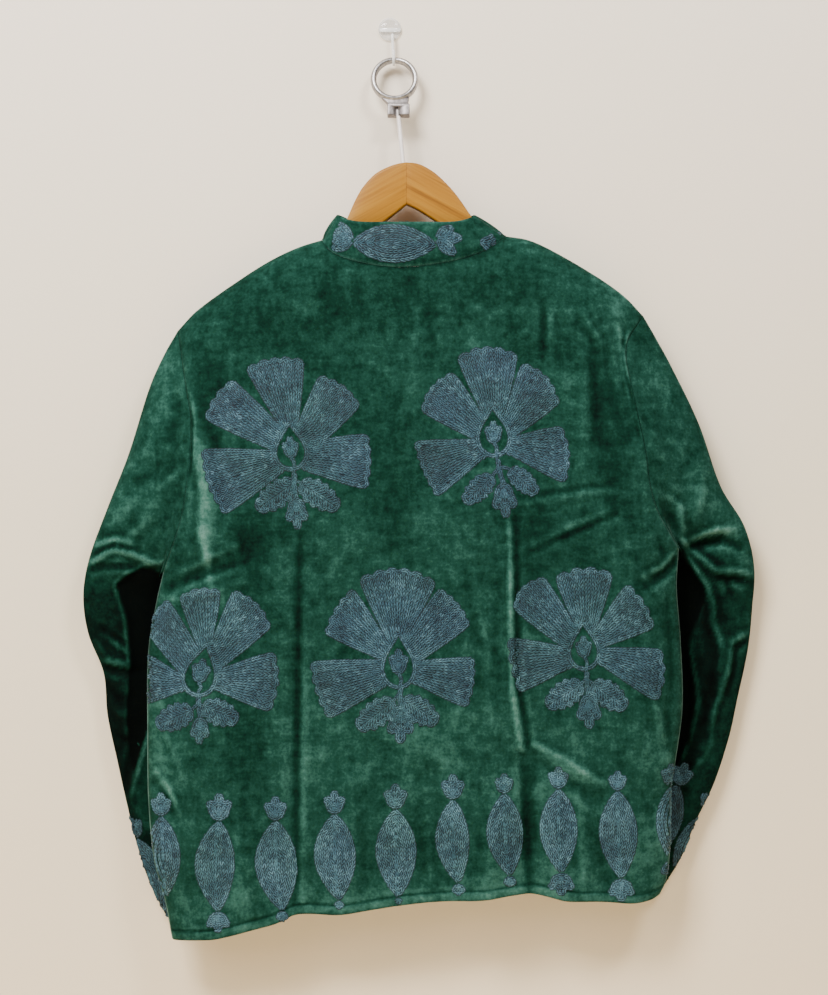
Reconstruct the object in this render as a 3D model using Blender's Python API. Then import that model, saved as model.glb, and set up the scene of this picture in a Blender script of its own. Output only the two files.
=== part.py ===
"""Embroidered velvet jacket with a stand collar, seen from behind on a flat wooden hanger.

Sizes are in millimetres until a mesh is made. The origin is the centre of the wall pad's
back, the wall is the plane y = 0, the jacket hangs on its -Y side with its back outward,
+X is the wearer's right and +Z is up.
"""

import math

import bmesh
import bpy

MM = 0.001

# Cloth
WALL = 2.0            # thickness of the velvet
COLLAR_WALL = 2.6     # thickness of the collar, two plies
SEAM_GAP = 0.3        # left between two pieces that are sewn together
ARMHOLE_SHIFT = 0.36  # of a sleeve off a slanted armhole, which leaves the seam's gap
COLLAR_LIFT = 0.42    # of the collar off the slanted neckline
FRONT_X = 26.0        # where the two fronts meet
FRONT_PARTING = 1.2   # from there to each front's edge

# Depth of the hanging body, half of it on each side of its middle plane
SHOULDER_Y = -37.0    # middle plane at the shoulders
UNDERARM_Y = -49.0    # and from the underarm down
BACK_DEPTH = 23.0
FRONT_DEPTH = 20.0
ARM_DEPTH = 20.0      # of the armhole loop
NECK_DEPTH_BACK = 20.0
NECK_DEPTH_FRONT = 19.0
NECK_SQUARE = 0.45      # power of the neck's oval: 1 is an ellipse, less is squarer
SHOULDER_REACH = 62.0   # down which the cloth swells from the shoulder seam
BACK_SIDE_REACH = 66.0  # in which it swells from a side seam
FRONT_SIDE_REACH = 150.0

# Outlines as (x, z)
LEFT_SHOULDER = [(-222, -326), (-202, -305), (-153, -270), (-122, -251), (-95, -238.5), (-71, -231)]
RIGHT_SHOULDER = [(122.5, -227), (146, -231), (171, -242), (219, -270), (248, -291), (267, -311)]
BACK_NECK = [(-71, -231), (-60, -245), (-37, -255), (9, -262), (65, -255.5), (103, -242.5), (122.5, -227)]
LEFT_ARMHOLE = [(-236.5, -581), (-216.5, -525), (-208, -471), (-206, -422), (-212, -386), (-222, -326)]
RIGHT_ARMHOLE = [(303, -556), (280, -517), (271, -487), (267, -455), (256, -401), (248, -345), (267, -311)]
LEFT_SIDE = [(-227, -963), (-235, -922), (-246, -881), (-252, -819), (-253, -744), (-252, -662),
             (-243, -609), (-236.5, -581)]
RIGHT_SIDE = [(284, -915), (290, -901), (294, -870), (295, -808), (300, -776), (307, -721),
              (305, -651), (301, -596), (303, -556)]
BACK_HEM = [(-227, -963), (-202, -961), (-179, -959), (-149, -951), (-118, -943), (-94, -933), (-50, -933),
            (11, -924), (60, -919.5), (96, -918.5), (129, -913.5), (147, -912), (164, -914.5), (186, -919.5),
            (216, -920), (253, -922.5), (272, -920), (284, -915)]
FRONT_HEM_LIFT = 4.0    # the front hems hang this much higher than the back's
FRONT_HEM_LIFT_BY = 0.17  # from this share of the way to the centre on
FRONT_NECK_Z = -300.0   # of the neckline at the centre front
FRONT_NECK_BOW = 9.0    # by which the front neckline sags

# Share of each panel's grid, from the hem to the shoulder and from side to side
UNDERARM_ROW = 0.585
ARM_REACH_FROM = 0.54   # above this the fronts swell from their sides as fast as the back
BODY_ROWS = [0, 0.012, 0.05, 0.095, 0.145, 0.195, 0.245, 0.295, 0.345, 0.395, 0.445, 0.495, 0.545, 0.572]
ARM_ROWS = [0.585, 0.602, 0.635, 0.68, 0.73, 0.78, 0.83, 0.88, 0.92, 0.953, 0.978, 0.992, 1.0]
NECK_FROM, NECK_TO = 0.30, 0.70
SIDE_COLUMNS = [0, 0.008, 0.024, 0.05, 0.085, 0.13, 0.175, 0.22, 0.26]
NECK_COLUMNS = [0.30, 0.306, 0.318, 0.342, 0.38, 0.42, 0.46, 0.5, 0.54, 0.58, 0.62, 0.658, 0.682, 0.694, 0.70]
FRONT_NECK_FROM = 0.60  # on a front, counted from its side seam
FRONT_SIDE_COLUMNS = [0, 0.016, 0.05, 0.11, 0.20, 0.31, 0.41, 0.51]
FRONT_NECK_COLUMNS = [0.60, 0.607, 0.624, 0.66, 0.72, 0.79, 0.86, 0.93, 1.0]

# Folds of the body: a line in (x, z), with its width and how far it stands out (+) or in (-).
# They fade to nothing at the seams.
FOLD_FREE_TOP = 0.03
FOLD_FREE_SIDE = 0.2
BACK_FOLDS = [
    # from (x, z),  to (x, z),      width, height
    ((123, -545), (124, -705), 26, 5.0),
    ((124, -705), (140, -770), 24, 4.0),
    ((148, -760), (147, -925), 22, -7.0),
    ((170, -800), (176, -925), 24, 4.5),
    ((110, -820), (104, -925), 26, 3.5),
    ((-93, -640), (-98, -935), 20, -3.5),
    ((-40, -800), (-46, -935), 34, 3.5),
    ((40, -790), (44, -925), 34, -3.5),
    ((-150, -860), (-152, -950), 30, 4.0),
    ((228, -860), (232, -922), 26, -4.0),
    ((-205, -430), (-188, -560), 26, 5.0),
    ((-225, -590), (-150, -556), 22, -4.0),
    ((262, -430), (243, -330), 22, -5.0),
    ((300, -570), (262, -590), 22, -4.0),
]
FRONT_FOLDS = [
    ((-80, -700), (-92, -940), 34, 4.0),
    ((-160, -640), (-150, -950), 34, -2.0),
    ((-20, -720), (-30, -935), 30, -4.0),
    ((90, -690), (80, -925), 32, 4.0),
    ((60, -420), (130, -640), 40, -3.0),
    ((-40, -420), (-110, -640), 40, -3.0),
]

# Sleeves: a row for each section from the armhole to the cuff. The armhole share is how much
# of the armhole's own curve the section still has. The columns are:
# outer x, outer z, inner x, inner z, outer y, inner y, half depth, armhole share
LEFT_SLEEVE = [
    (-222, -326, -236.5, -581, -37, -49, 20, 1.00),
    (-237, -352, -239.3, -583.5, -36, -46, 20, 0.86),
    (-252, -385, -241.0, -586.5, -35, -41, 19.5, 0.68),
    (-275, -457, -240.5, -591, -34, -34, 18.5, 0.42),
    (-297, -512, -238.0, -596, -32, -27, 16.5, 0.22),
    (-317, -566, -233.0, -602, -29, -20.5, 14, 0.08),
    (-324, -605, -224.0, -611, -25, -16.5, 12.5, 0.0),
    (-320, -645, -209.0, -625, -20, -15.0, 11.5, 0.0),
    (-304, -688, -187.0, -656, -16.5, -14.5, 11, 0.0),
    (-300, -733, -168.0, -702, -15.5, -14.5, 11, 0.0),
    (-290, -780, -156.0, -752, -15.5, -14.5, 11, 0.0),
    (-280, -825, -146.0, -800, -15.5, -14.5, 11, 0.0),
    (-269, -870, -135.0, -848, -15.5, -14.5, 11, 0.0),
    (-255, -912, -123.0, -893, -15.5, -14.5, 11, 0.0),
    (-238, -946, -110.0, -928, -15.5, -14.5, 11, 0.0),
]
RIGHT_SLEEVE = [
    (267, -311, 303, -556, -37, -49, 20, 1.00),
    (281, -335, 305.8, -558.5, -36, -46, 20, 0.86),
    (297, -364, 307, -561.5, -35, -41, 19.5, 0.68),
    (326, -424, 306, -566, -34, -34, 18.5, 0.42),
    (350, -491, 303, -571, -32, -27, 16.5, 0.22),
    (375, -532, 298, -577, -29, -20.5, 14, 0.08),
    (386, -575, 287, -587, -25, -16.5, 12.5, 0.0),
    (385, -618, 270, -603, -20, -15.0, 11.5, 0.0),
    (381, -663, 249, -636, -16.5, -14.5, 11, 0.0),
    (370, -716, 233, -686, -15.5, -14.5, 11, 0.0),
    (361, -757, 222, -730, -15.5, -14.5, 11, 0.0),
    (345, -806, 212, -776, -15.5, -14.5, 11, 0.0),
    (325, -848, 202, -822, -15.5, -14.5, 11, 0.0),
    (311, -883, 192, -862, -15.5, -14.5, 11, 0.0),
    (293, -913, 180, -893, -15.5, -14.5, 11, 0.0),
]
SLEEVE_ROWS = 22
SLEEVE_ROW_POWER = 1.25   # over 1 puts the rows closer together near the armhole
SLEEVE_ROUND = 0.62   # power of the section's depth: 1 is an ellipse, less is fuller
SLEEVE_FOLDS = [
    # from (x, z),  to (x, z),    width, height
    ((-318, -562), (-250, -590), 22, 3.5),
    ((-300, -640), (-255, -690), 20, -3.0),
    ((-300, -700), (-262, -760), 24, 3.0),
    ((378, -582), (315, -572), 22, 3.5),
    ((362, -538), (312, -556), 18, -4.0),
    ((350, -650), (322, -600), 22, -3.0),
    ((340, -735), (352, -665), 22, 3.0),
]

# Collar
COLLAR_ROWS = 5
COLLAR_BOW = 2.0          # by which its middle stands out
COLLAR_TOP_X = 18.0       # middle of its top edge
COLLAR_TAKE_IN = 0.755    # the top edge's length as a share of the seam's
COLLAR_TOP_BACK = -214.5  # height of the top edge at the back
COLLAR_TOP_SIDE = -204.5  # at the sides of the neck
COLLAR_TOP_FRONT = -262.0

# Hanger: its raised middle as (x, top z, bottom z), and its arms as (x, height, half thickness)
HANGER_MIDDLE = [
    (-60, -234.5, -254),
    (-52, -225, -249),
    (-44, -208, -243),
    (-36, -190, -237),
    (-28, -176, -231),
    (-15, -162, -221),
    (0, -153.9, -209),
    (10, -150.8, -201),
    (20, -149.7, -195),
    (30, -151.0, -200),
    (40, -155.5, -206.5),
    (50, -162.3, -213),
    (64, -176, -223),
    (73, -187, -229),
    (82, -200, -236),
    (92, -214.5, -243),
    (102, -225.5, -248),
    (111, -231.5, -253),
]
LEFT_ARM = [(-207, 12, 3.0), (-200, 24, 4.4), (-180, 30, 5.4), (-153, 32, 5.6), (-122, 33, 5.6),
            (-95, 30, 5.6), (-71, 24, 5.6)]
RIGHT_ARM = [(124, 27, 5.6), (146, 32, 5.6), (171, 33, 5.6), (216, 31, 5.4), (243, 24, 4.4), (250, 12, 3.0)]
HANGER_HALF = 5.6
HANGER_DROP = 3.4     # from the shoulder seam's outside to the top of the arm under it
HANGER_EDGE = 5.0     # height of the rounded edges

# Ring, clamp, stem and wall hook, each with (x, y, z)
RING_CENTRE = (5.2, -15.6, -56.0)
RING_RADIUS = 22.6
RING_WIRE = 1.8
RING_LEAN = 0.22      # how far the ring leans out from the wall, in radians
CLAMP_CENTRE = (9.6, -22.4, -88.0)
CLAMP_SIZE = (24.4, 9.0, 24.0)
STEM_TOP = (9.0, -24.0, -92.0)
STEM_FOOT = (15.8, -36.5, -163.0)
STEM_RADIUS = 2.0
BORE_GAP = 0.3
PAD_RADIUS = 12.3
PAD_THICK = 3.2
PRONG_WIRE = 1.5
PRONG_PATH = [(3.0, -3.7, -7.0), (3.0, -5.5, -7.1), (3.0, -6.3, -9.5), (3.2, -6.4, -16), (3.8, -6.2, -30),
              (4.2, -7.1, -35.6), (4.4, -10.8, -38.6), (4.4, -14.3, -35.6), (4.4, -15.3, -31), (4.4, -15.4, -25)]


def lerp(a, b, t):
    return a + (b - a) * t


def ease(t):
    """0 to 1 with flat ends."""
    t = min(max(t, 0.0), 1.0)
    return t * t * (3 - 2 * t)


def swell(distance, reach):
    """0 at an edge to 1 at the reach from it, round like a quarter of an ellipse."""
    t = min(max(distance / reach, 0.0), 1.0)
    return math.sqrt(1 - (1 - t) ** 2)


class Path:
    """A smooth line through points, read by the share of its length from 0 to 1."""

    def __init__(self, points):
        self.points = points
        self.at = [0.0]
        for a, b in zip(points, points[1:]):
            self.at.append(self.at[-1] + math.dist(a, b))
        self.at = [s / self.at[-1] for s in self.at]

    def slope(self, i):
        low, high = max(i - 1, 0), min(i + 1, len(self.points) - 1)
        span = self.at[high] - self.at[low]
        return [(b - a) / span for a, b in zip(self.points[low], self.points[high])]

    def __call__(self, share):
        share = min(max(share, 0.0), 1.0)
        i = 0
        while i < len(self.points) - 2 and share > self.at[i + 1]:
            i += 1
        step = self.at[i + 1] - self.at[i]
        t = (share - self.at[i]) / step
        start, end = self.slope(i), self.slope(i + 1)
        h1, h2 = (1 + 2 * t) * (1 - t) ** 2, t * t * (3 - 2 * t)
        h3, h4 = t * (1 - t) ** 2, t * t * (t - 1)
        return tuple(
            h1 * a + h2 * b + step * (h3 * m + h4 * n)
            for a, b, m, n in zip(self.points[i], self.points[i + 1], start, end)
        )


def fold_at(folds, x, z):
    """How far the folds of a table move the cloth at this place."""
    total = 0.0
    for (ax, az), (bx, bz), width, height in folds:
        run_x, run_z = bx - ax, bz - az
        along = ((x - ax) * run_x + (z - az) * run_z) / (run_x**2 + run_z**2)
        near = min(max(along, 0.0), 1.0)
        aside = math.hypot(x - ax - near * run_x, z - az - near * run_z)
        taper = 0.35 + 0.65 * math.sin(math.pi * min(max(along, 0.12), 0.88))
        total += height * taper * math.exp(-((2 * aside / width) ** 2))
    return total


def middle_y(z):
    """The body's middle plane, which stands further from the wall below the shoulders."""
    return lerp(SHOULDER_Y, UNDERARM_Y, ease((-300 - z) / 260))


class Panel:
    """A back or a front: four outlines, filled between them and swollen away from the middle plane."""

    def __init__(self, left, right, hem, top, out, depth, reach, folds):
        self.left, self.right, self.hem, self.top = left, right, hem, top
        self.out, self.depth, self.reach, self.folds = out, depth, reach, folds

    def flat(self, u, v):
        """(x, z) of the panel's point, between its four outlines."""
        sides = [lerp(a, b, u) for a, b in zip(self.left(v), self.right(v))]
        ends = [lerp(a, b, v) for a, b in zip(self.hem(u), self.top(u))]
        low = [lerp(a, b, u) for a, b in zip(self.hem(0), self.hem(1))]
        high = [lerp(a, b, u) for a, b in zip(self.top(0), self.top(1))]
        return [s + e - lerp(a, b, v) for s, e, a, b in zip(sides, ends, low, high)]

    def __call__(self, u, v):
        x, z = self.flat(u, v)
        left_x, right_x = self.left(v)[0], self.right(v)[0]
        top_x, top_z = self.top(u)
        above = ease((v - ARM_REACH_FROM) / (UNDERARM_ROW - ARM_REACH_FROM))
        reach = [lerp(r, BACK_SIDE_REACH, above) if r else 0 for r in self.reach]
        near_left = swell(x - left_x, reach[0]) if reach[0] else 1.0
        near_right = swell(right_x - x, reach[1]) if reach[1] else 1.0
        side = near_left * near_right
        drop = swell((top_z - z) + 0.2 * abs(top_x - x), SHOULDER_REACH)
        full = self.depth * side * drop
        edge = self.edge_depth(v, 0) * (1 - near_left) + self.edge_depth(v, 1) * (1 - near_right)
        neck = self.neck_depth(u) * (1 - drop)
        free = ease((1 - v) / FOLD_FREE_TOP) * ease((min(near_left, near_right) - FOLD_FREE_SIDE) / FOLD_FREE_SIDE)
        y = middle_y(z) + self.out * (SEAM_GAP / 2 + full + edge + neck + free * fold_at(self.folds, x, z))
        return (x, y, z)

    def edge_depth(self, v, side):
        """Depth of the armhole loop where this side of the panel is sewn to a sleeve."""
        if self.reach[side] == 0 or v <= UNDERARM_ROW:
            return 0.0
        share = (v - UNDERARM_ROW) / (1 - UNDERARM_ROW)
        return ARM_DEPTH * math.sin(math.pi * share) ** SLEEVE_ROUND

    def neck_depth(self, u):
        raise NotImplementedError


class Back(Panel):
    def neck_depth(self, u):
        share = (u - NECK_FROM) / (NECK_TO - NECK_FROM)
        if share <= 0 or share >= 1:
            return 0.0
        return NECK_DEPTH_BACK * math.sin(math.pi * share) ** NECK_SQUARE


class Front(Panel):
    """A front whose u runs from its side seam on one side and to it on the other."""

    def neck_depth(self, u):
        u = u if self.reach[0] else 1 - u
        share = (u - FRONT_NECK_FROM) / (1 - FRONT_NECK_FROM)
        return NECK_DEPTH_FRONT * math.sin(math.pi / 2 * max(share, 0.0)) ** NECK_SQUARE


def joined(first, second, at):
    """Two paths as one, the first read up to a share and the second after it."""

    def read(share):
        if share <= at:
            return first(share / at)
        return second((share - at) / (1 - at))

    return read


def make_panels():
    left = joined(Path(LEFT_SIDE), Path(LEFT_ARMHOLE), UNDERARM_ROW)
    right = joined(Path(RIGHT_SIDE), Path(RIGHT_ARMHOLE), UNDERARM_ROW)
    hem = Path(BACK_HEM)
    left_shoulder, right_shoulder = Path(LEFT_SHOULDER), Path(RIGHT_SHOULDER)
    neck = Path(BACK_NECK)

    def back_top(u):
        if u <= NECK_FROM:
            return left_shoulder(u / NECK_FROM)
        if u < NECK_TO:
            return neck((u - NECK_FROM) / (NECK_TO - NECK_FROM))
        return right_shoulder((u - NECK_TO) / (1 - NECK_TO))

    back = Back(left, right, hem, back_top, -1, BACK_DEPTH, (BACK_SIDE_REACH,) * 2, BACK_FOLDS)
    fronts = {}
    for name, sign in (("left", -1), ("right", 1)):
        edge_x = FRONT_X + sign * FRONT_PARTING
        side = left if sign < 0 else right
        corner_x = side(0)[0]
        tip_to_neck = left_shoulder if sign < 0 else flipped(right_shoulder)
        neck_x, neck_z = tip_to_neck(1)
        to_edge = (edge_x - hem(0)[0]) / (hem(1)[0] - hem(0)[0])

        def front_hem(u, sign=sign, edge_x=edge_x, corner_x=corner_x, to_edge=to_edge):
            share = u * to_edge if sign < 0 else 1 - u * (1 - to_edge)
            lift = FRONT_HEM_LIFT * ease(u / FRONT_HEM_LIFT_BY)
            return (lerp(corner_x, edge_x, u), hem(share)[1] + lift)

        def front_top(u, edge_x=edge_x, shoulder=tip_to_neck, neck_x=neck_x, neck_z=neck_z):
            if u <= FRONT_NECK_FROM:
                return shoulder(u / FRONT_NECK_FROM)
            share = (u - FRONT_NECK_FROM) / (1 - FRONT_NECK_FROM)
            sag = FRONT_NECK_BOW * math.sin(math.pi * share)
            return (lerp(neck_x, edge_x, share), lerp(neck_z, FRONT_NECK_Z, share) - sag)

        def centre(v, edge_x=edge_x, top=front_top, low=front_hem):
            return (edge_x, lerp(low(1)[1], top(1)[1], v))

        if sign < 0:
            outlines = (side, centre, front_hem, front_top)
            reach = (FRONT_SIDE_REACH, 0)
        else:
            outlines = (centre, side, flipped(front_hem), flipped(front_top))
            reach = (0, FRONT_SIDE_REACH)
        fronts[name] = Front(*outlines, 1, FRONT_DEPTH, reach, FRONT_FOLDS)
    return back, fronts


def flipped(path):
    return lambda share: path(1 - share)


def cross(a, b):
    return (a[1] * b[2] - a[2] * b[1], a[2] * b[0] - a[0] * b[2], a[0] * b[1] - a[1] * b[0])


def unit(a):
    size = math.sqrt(sum(x * x for x in a))
    return tuple(x / size for x in a)


def minus(a, b):
    return tuple(x - y for x, y in zip(a, b))


def step_along(a, way, distance):
    return tuple(x + y * distance for x, y in zip(a, way))


def wall_grids(outer, edges, wall, turn):
    """The inner grid of a cloth whose outer grid is given as rows of points.

    edges holds the way across each edge's seam, for the first and last column and row.
    At an edge the wall is cut square to that way, so that two sewn pieces lie face to face.
    """
    rows, columns = len(outer), len(outer[0])
    inner = []
    for i, line in enumerate(outer):
        inner.append([])
        for j, point in enumerate(line):
            along = minus(line[min(j + 1, columns - 1)], line[max(j - 1, 0)])
            up = minus(outer[min(i + 1, rows - 1)][j], outer[max(i - 1, 0)][j])
            normal = unit([turn * c for c in cross(along, up)])
            column_way = row_way = None
            if j in (0, columns - 1):
                column_way = edges["last column" if j else "first column"](i)
            if i in (0, rows - 1):
                row_way = edges["last row" if i else "first row"](j)
            if column_way and row_way:
                square = cross(column_way, row_way)
            elif column_way:
                square = cross(column_way, up)
            elif row_way:
                square = cross(row_way, along)
            else:
                square = None
            if square and math.hypot(*square) > 1e-6:
                square = unit(square)
                if sum(a * b for a, b in zip(square, normal)) < 0:
                    square = tuple(-a for a in square)
                normal = square
            inner[-1].append(step_along(point, normal, -wall))
    return inner


def panel_grid(panel, columns, rows):
    """Outer and inner points of a back or front panel."""
    outer = [[panel(u, v) for u in columns] for v in rows]
    across_seam, across_arm, across_hem = (0, 1, 0), (1, 0, 0), (0, 0, 1)
    underarm = rows.index(UNDERARM_ROW)

    def side_way(i):
        return across_seam if i < underarm else across_arm

    def centre_way(i):
        return across_arm

    def top_way(j):
        u = columns[j]
        if isinstance(panel, Back):
            return across_hem if NECK_FROM <= u <= NECK_TO else across_seam
        u = u if panel.reach[0] else 1 - u
        return across_hem if u >= FRONT_NECK_FROM else across_seam

    edges = {
        "first column": side_way if panel.reach[0] else centre_way,
        "last column": side_way if panel.reach[1] else centre_way,
        "first row": lambda j: across_hem,
        "last row": top_way,
    }
    inner = wall_grids(outer, edges, WALL, -panel.out)
    set_corners(panel, outer, inner, columns, rows)
    return outer, inner


def set_corners(panel, outer, inner, columns, rows):
    """Where a side seam, an armhole and the sleeve meet, the wall is cut along the seam's own line."""
    underarm = rows.index(UNDERARM_ROW)
    for side, column in ((0, 0), (1, len(columns) - 1)):
        if panel.reach[side]:
            inner[underarm][column] = step_along(outer[underarm][column], (0, 0, 1), WALL)
            inner[-1][column] = step_along(outer[-1][column], (0, 0, -1), WALL)
    neck_ends = [NECK_FROM, NECK_TO]
    if not isinstance(panel, Back):
        neck_ends = [FRONT_NECK_FROM] if panel.reach[0] else [1 - FRONT_NECK_FROM]
    for u in neck_ends:
        column = min(range(len(columns)), key=lambda j: abs(columns[j] - u))
        inward = 1 if outer[-1][column][0] < FRONT_X else -1
        inner[-1][column] = step_along(outer[-1][column], (inward, 0, 0), WALL)


def sleeve_point(row, share, side, wall):
    """A point of a sleeve's section: share runs from its inner point to its outer one."""
    outer_x, outer_z, inner_x, inner_z, outer_y, inner_y, depth, _ = row
    length = math.hypot(outer_x - inner_x, outer_z - inner_z)
    cut = wall / length
    across = lerp(cut, 1 - cut, (1 - math.cos(math.pi * share)) / 2)
    thick = (depth - wall) * max(math.sin(math.pi * share), 0.0) ** SLEEVE_ROUND
    x = lerp(inner_x, outer_x, across)
    z = lerp(inner_z, outer_z, across)
    y = lerp(inner_y, outer_y, across) + side * thick
    bump = fold_at(SLEEVE_FOLDS, x, z) * math.sin(math.pi * share) * (side < 0)
    return (x, y - bump, z)


def sleeve_grid(table, armhole_outer, armhole_inner):
    """Outer and inner rings of a sleeve, from the armhole's own points to the cuff."""
    path = Path([tuple(float(value) for value in row) for row in table])
    shares = [(v - UNDERARM_ROW) / (1 - UNDERARM_ROW) for v in ARM_ROWS]
    round_the_ring = [(s, -1) for s in shares] + [(s, 1) for s in reversed(shares[1:-1])]
    outer, inner = [], []
    for k in range(SLEEVE_ROWS + 1):
        row = path((k / SLEEVE_ROWS) ** SLEEVE_ROW_POWER)
        blend = row[-1] if k else 1.0
        for ring, wall, armhole in ((outer, 0.0, armhole_outer), (inner, WALL, armhole_inner)):
            line = []
            for (share, side), seam in zip(round_the_ring, armhole):
                plain = sleeve_point(row, share, side, wall)
                start = sleeve_point(table[0], share, side, wall)
                line.append(tuple(p + blend * (a - b) for p, a, b in zip(plain, seam, start)))
            ring.append(line)
    return outer, inner


def armhole_ring(back_grid, front_grid, rows, column, shift):
    """The armhole's points round the back and the front, moved off them by the seam's gap."""
    first = rows.index(UNDERARM_ROW)
    ring = [back_grid[i][column] for i in range(first, len(rows))]
    front_column = column if column == 0 else -1
    ring += [front_grid[i][front_column] for i in range(len(rows) - 2, first, -1)]
    underarm = lerp_points(back_grid[first][column], front_grid[first][front_column], 0.5)
    tip = lerp_points(back_grid[-1][column], front_grid[-1][front_column], 0.5)
    ring[0] = underarm
    ring[len(rows) - 1 - first] = tip
    ring = [(x + shift, y, z) for x, y, z in ring]
    ring[0] = step_along(ring[0], (shift, 0, 0), 1.0)
    return ring


def lerp_points(a, b, t):
    return tuple(lerp(x, y, t) for x, y in zip(a, b))


def collar_grid(back_outer, back_inner, fronts):
    """Outer and inner rows of the collar, standing on the panels' neck edges."""
    back_columns = [j for j, u in enumerate(BACK_COLUMNS) if NECK_FROM <= u <= NECK_TO]
    left_outer, left_inner, left_columns = fronts["left"]
    right_outer, right_inner, right_columns = fronts["right"]
    left_neck = [j for j, u in enumerate(left_columns) if u > FRONT_NECK_FROM]
    right_neck = [j for j, u in enumerate(right_columns) if u < 1 - FRONT_NECK_FROM - 1e-9]
    base_outer = [left_outer[-1][j] for j in reversed(left_neck)]
    base_inner = [left_inner[-1][j] for j in reversed(left_neck)]
    base_outer += [back_outer[-1][j] for j in back_columns]
    base_inner += [back_inner[-1][j] for j in back_columns]
    base_outer += [right_outer[-1][j] for j in reversed(right_neck)]
    base_inner += [right_inner[-1][j] for j in reversed(right_neck)]
    lift = COLLAR_LIFT
    outer, inner = [], []
    neck_half = (back_outer[-1][back_columns[-1]][0] - back_outer[-1][back_columns[0]][0]) / 2
    for k in range(COLLAR_ROWS + 1):
        t = k / COLLAR_ROWS
        outer.append([])
        inner.append([])
        for (x, y, z), (ix, iy, iz) in zip(base_outer, base_inner):
            off = (x - FRONT_X) / neck_half
            back_side = y < SHOULDER_Y
            if back_side:
                top_z = lerp(COLLAR_TOP_BACK, COLLAR_TOP_SIDE, min(abs(off), 1.0) ** 6)
            else:
                top_z = lerp(COLLAR_TOP_FRONT, COLLAR_TOP_SIDE, ease(abs(off)))
            top = (COLLAR_TOP_X + (x - FRONT_X) * COLLAR_TAKE_IN, y, top_z)
            point = lerp_points((x, y, z + lift), top, t)
            bow = COLLAR_BOW * math.sin(math.pi * t)
            away = unit((x - ix, y - iy, 0)) if math.hypot(x - ix, y - iy) > 1e-6 else (0, -1, 0)
            point = step_along(point, away, bow)
            wall = lerp(WALL, COLLAR_WALL, min(1.0, 2.5 * t))
            if k == 0:
                outer[-1].append((x, y, z + lift))
                inner[-1].append((ix, iy, iz + lift))
            else:
                outer[-1].append(point)
                inner[-1].append(step_along(point, away, -wall))
    return outer, inner


def mesh_object(name, build):
    """A new object whose mesh the function fills in."""
    mesh = bpy.data.meshes.new(name)
    shape = bmesh.new()
    build(shape)
    bmesh.ops.remove_doubles(shape, verts=shape.verts, dist=1e-7)
    bmesh.ops.recalc_face_normals(shape, faces=shape.faces)
    bmesh.ops.triangulate(shape, faces=shape.faces)
    shape.to_mesh(mesh)
    shape.free()
    thing = bpy.data.objects.new(name, mesh)
    bpy.data.collections[COLLECTION].objects.link(thing)
    return thing


def add_points(shape, grid):
    return [[shape.verts.new([c * MM for c in point]) for point in line] for line in grid]


def shell_from(outer, inner, ring=False):
    """Builds a cloth wall between two grids: open at its edges, or a tube when ring is set."""

    def build(shape):
        out, ins = add_points(shape, outer), add_points(shape, inner)
        rows, columns = len(out), len(out[0])
        last = columns if ring else columns - 1
        for i in range(rows - 1):
            for j in range(last):
                k = (j + 1) % columns
                shape.faces.new((out[i][j], out[i][k], out[i + 1][k], out[i + 1][j]))
                shape.faces.new((ins[i][j], ins[i + 1][j], ins[i + 1][k], ins[i][k]))
        for j in range(last):
            k = (j + 1) % columns
            for i in (0, rows - 1):
                shape.faces.new((out[i][j], ins[i][j], ins[i][k], out[i][k]))
        if not ring:
            for i in range(rows - 1):
                for j in (0, columns - 1):
                    shape.faces.new((out[i][j], out[i + 1][j], ins[i + 1][j], ins[i][j]))

    return build


def under_shoulder(shoulder, x):
    """Top of the hanger's arm below a shoulder seam."""
    steps = 60
    line = sorted(Path(shoulder)(k / steps) for k in range(steps + 1))
    for (ax, az), (bx, bz) in zip(line, line[1:]):
        if x <= bx:
            break
    slope = (bz - az) / (bx - ax)
    return az + slope * (x - ax) - HANGER_DROP * math.hypot(1, slope)


def hanger_stations():
    """The hanger's cross-sections from tip to tip, as (x, top z, bottom z, half thickness)."""
    stations = []
    for x, height, half in LEFT_ARM:
        top = under_shoulder(LEFT_SHOULDER, x)
        stations.append((x, top, top - height, half))
    stations += [(x, top, bottom, HANGER_HALF) for x, top, bottom in HANGER_MIDDLE]
    for x, height, half in RIGHT_ARM:
        top = under_shoulder(RIGHT_SHOULDER, x)
        stations.append((x, top, top - height, half))
    return stations


def hanger_build(shape):
    """The wooden hanger, lofted through its cross-sections."""
    sections = []
    for x, top, bottom, half in hanger_stations():
        edge = min(HANGER_EDGE, (top - bottom) / 3)
        around = [(0.2, 0), (0.6, 0.3), (1, 1)]
        corner = [(half * a, top - edge * b) for a, b in around]
        corner += [(half * a, bottom + edge * b) for a, b in reversed(around)]
        loop = corner + [(-y, z) for y, z in reversed(corner)]
        sections.append([(x, SHOULDER_Y + y, z) for y, z in loop])
    points = add_points(shape, sections)
    for a, b in zip(points, points[1:]):
        for j in range(len(a)):
            k = (j + 1) % len(a)
            shape.faces.new((a[j], a[k], b[k], b[j]))
    shape.faces.new(points[0])
    shape.faces.new(list(reversed(points[-1])))


def tube_between(start, end, radius, sides):
    """Builds a round rod from one point to another."""

    def build(shape):
        way = unit(minus(end, start))
        aside = unit(cross(way, (0, 1, 0)))
        over = cross(way, aside)
        rings = []
        for centre in (start, end):
            ring = []
            for k in range(sides):
                angle = 2 * math.pi * k / sides
                spoke = tuple(math.cos(angle) * a + math.sin(angle) * b for a, b in zip(aside, over))
                ring.append(step_along(centre, spoke, radius))
            rings.append(ring)
        low, high = add_points(shape, rings)
        for j in range(sides):
            k = (j + 1) % sides
            shape.faces.new((low[j], low[k], high[k], high[j]))
        shape.faces.new(low)
        shape.faces.new(list(reversed(high)))

    return build


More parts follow.
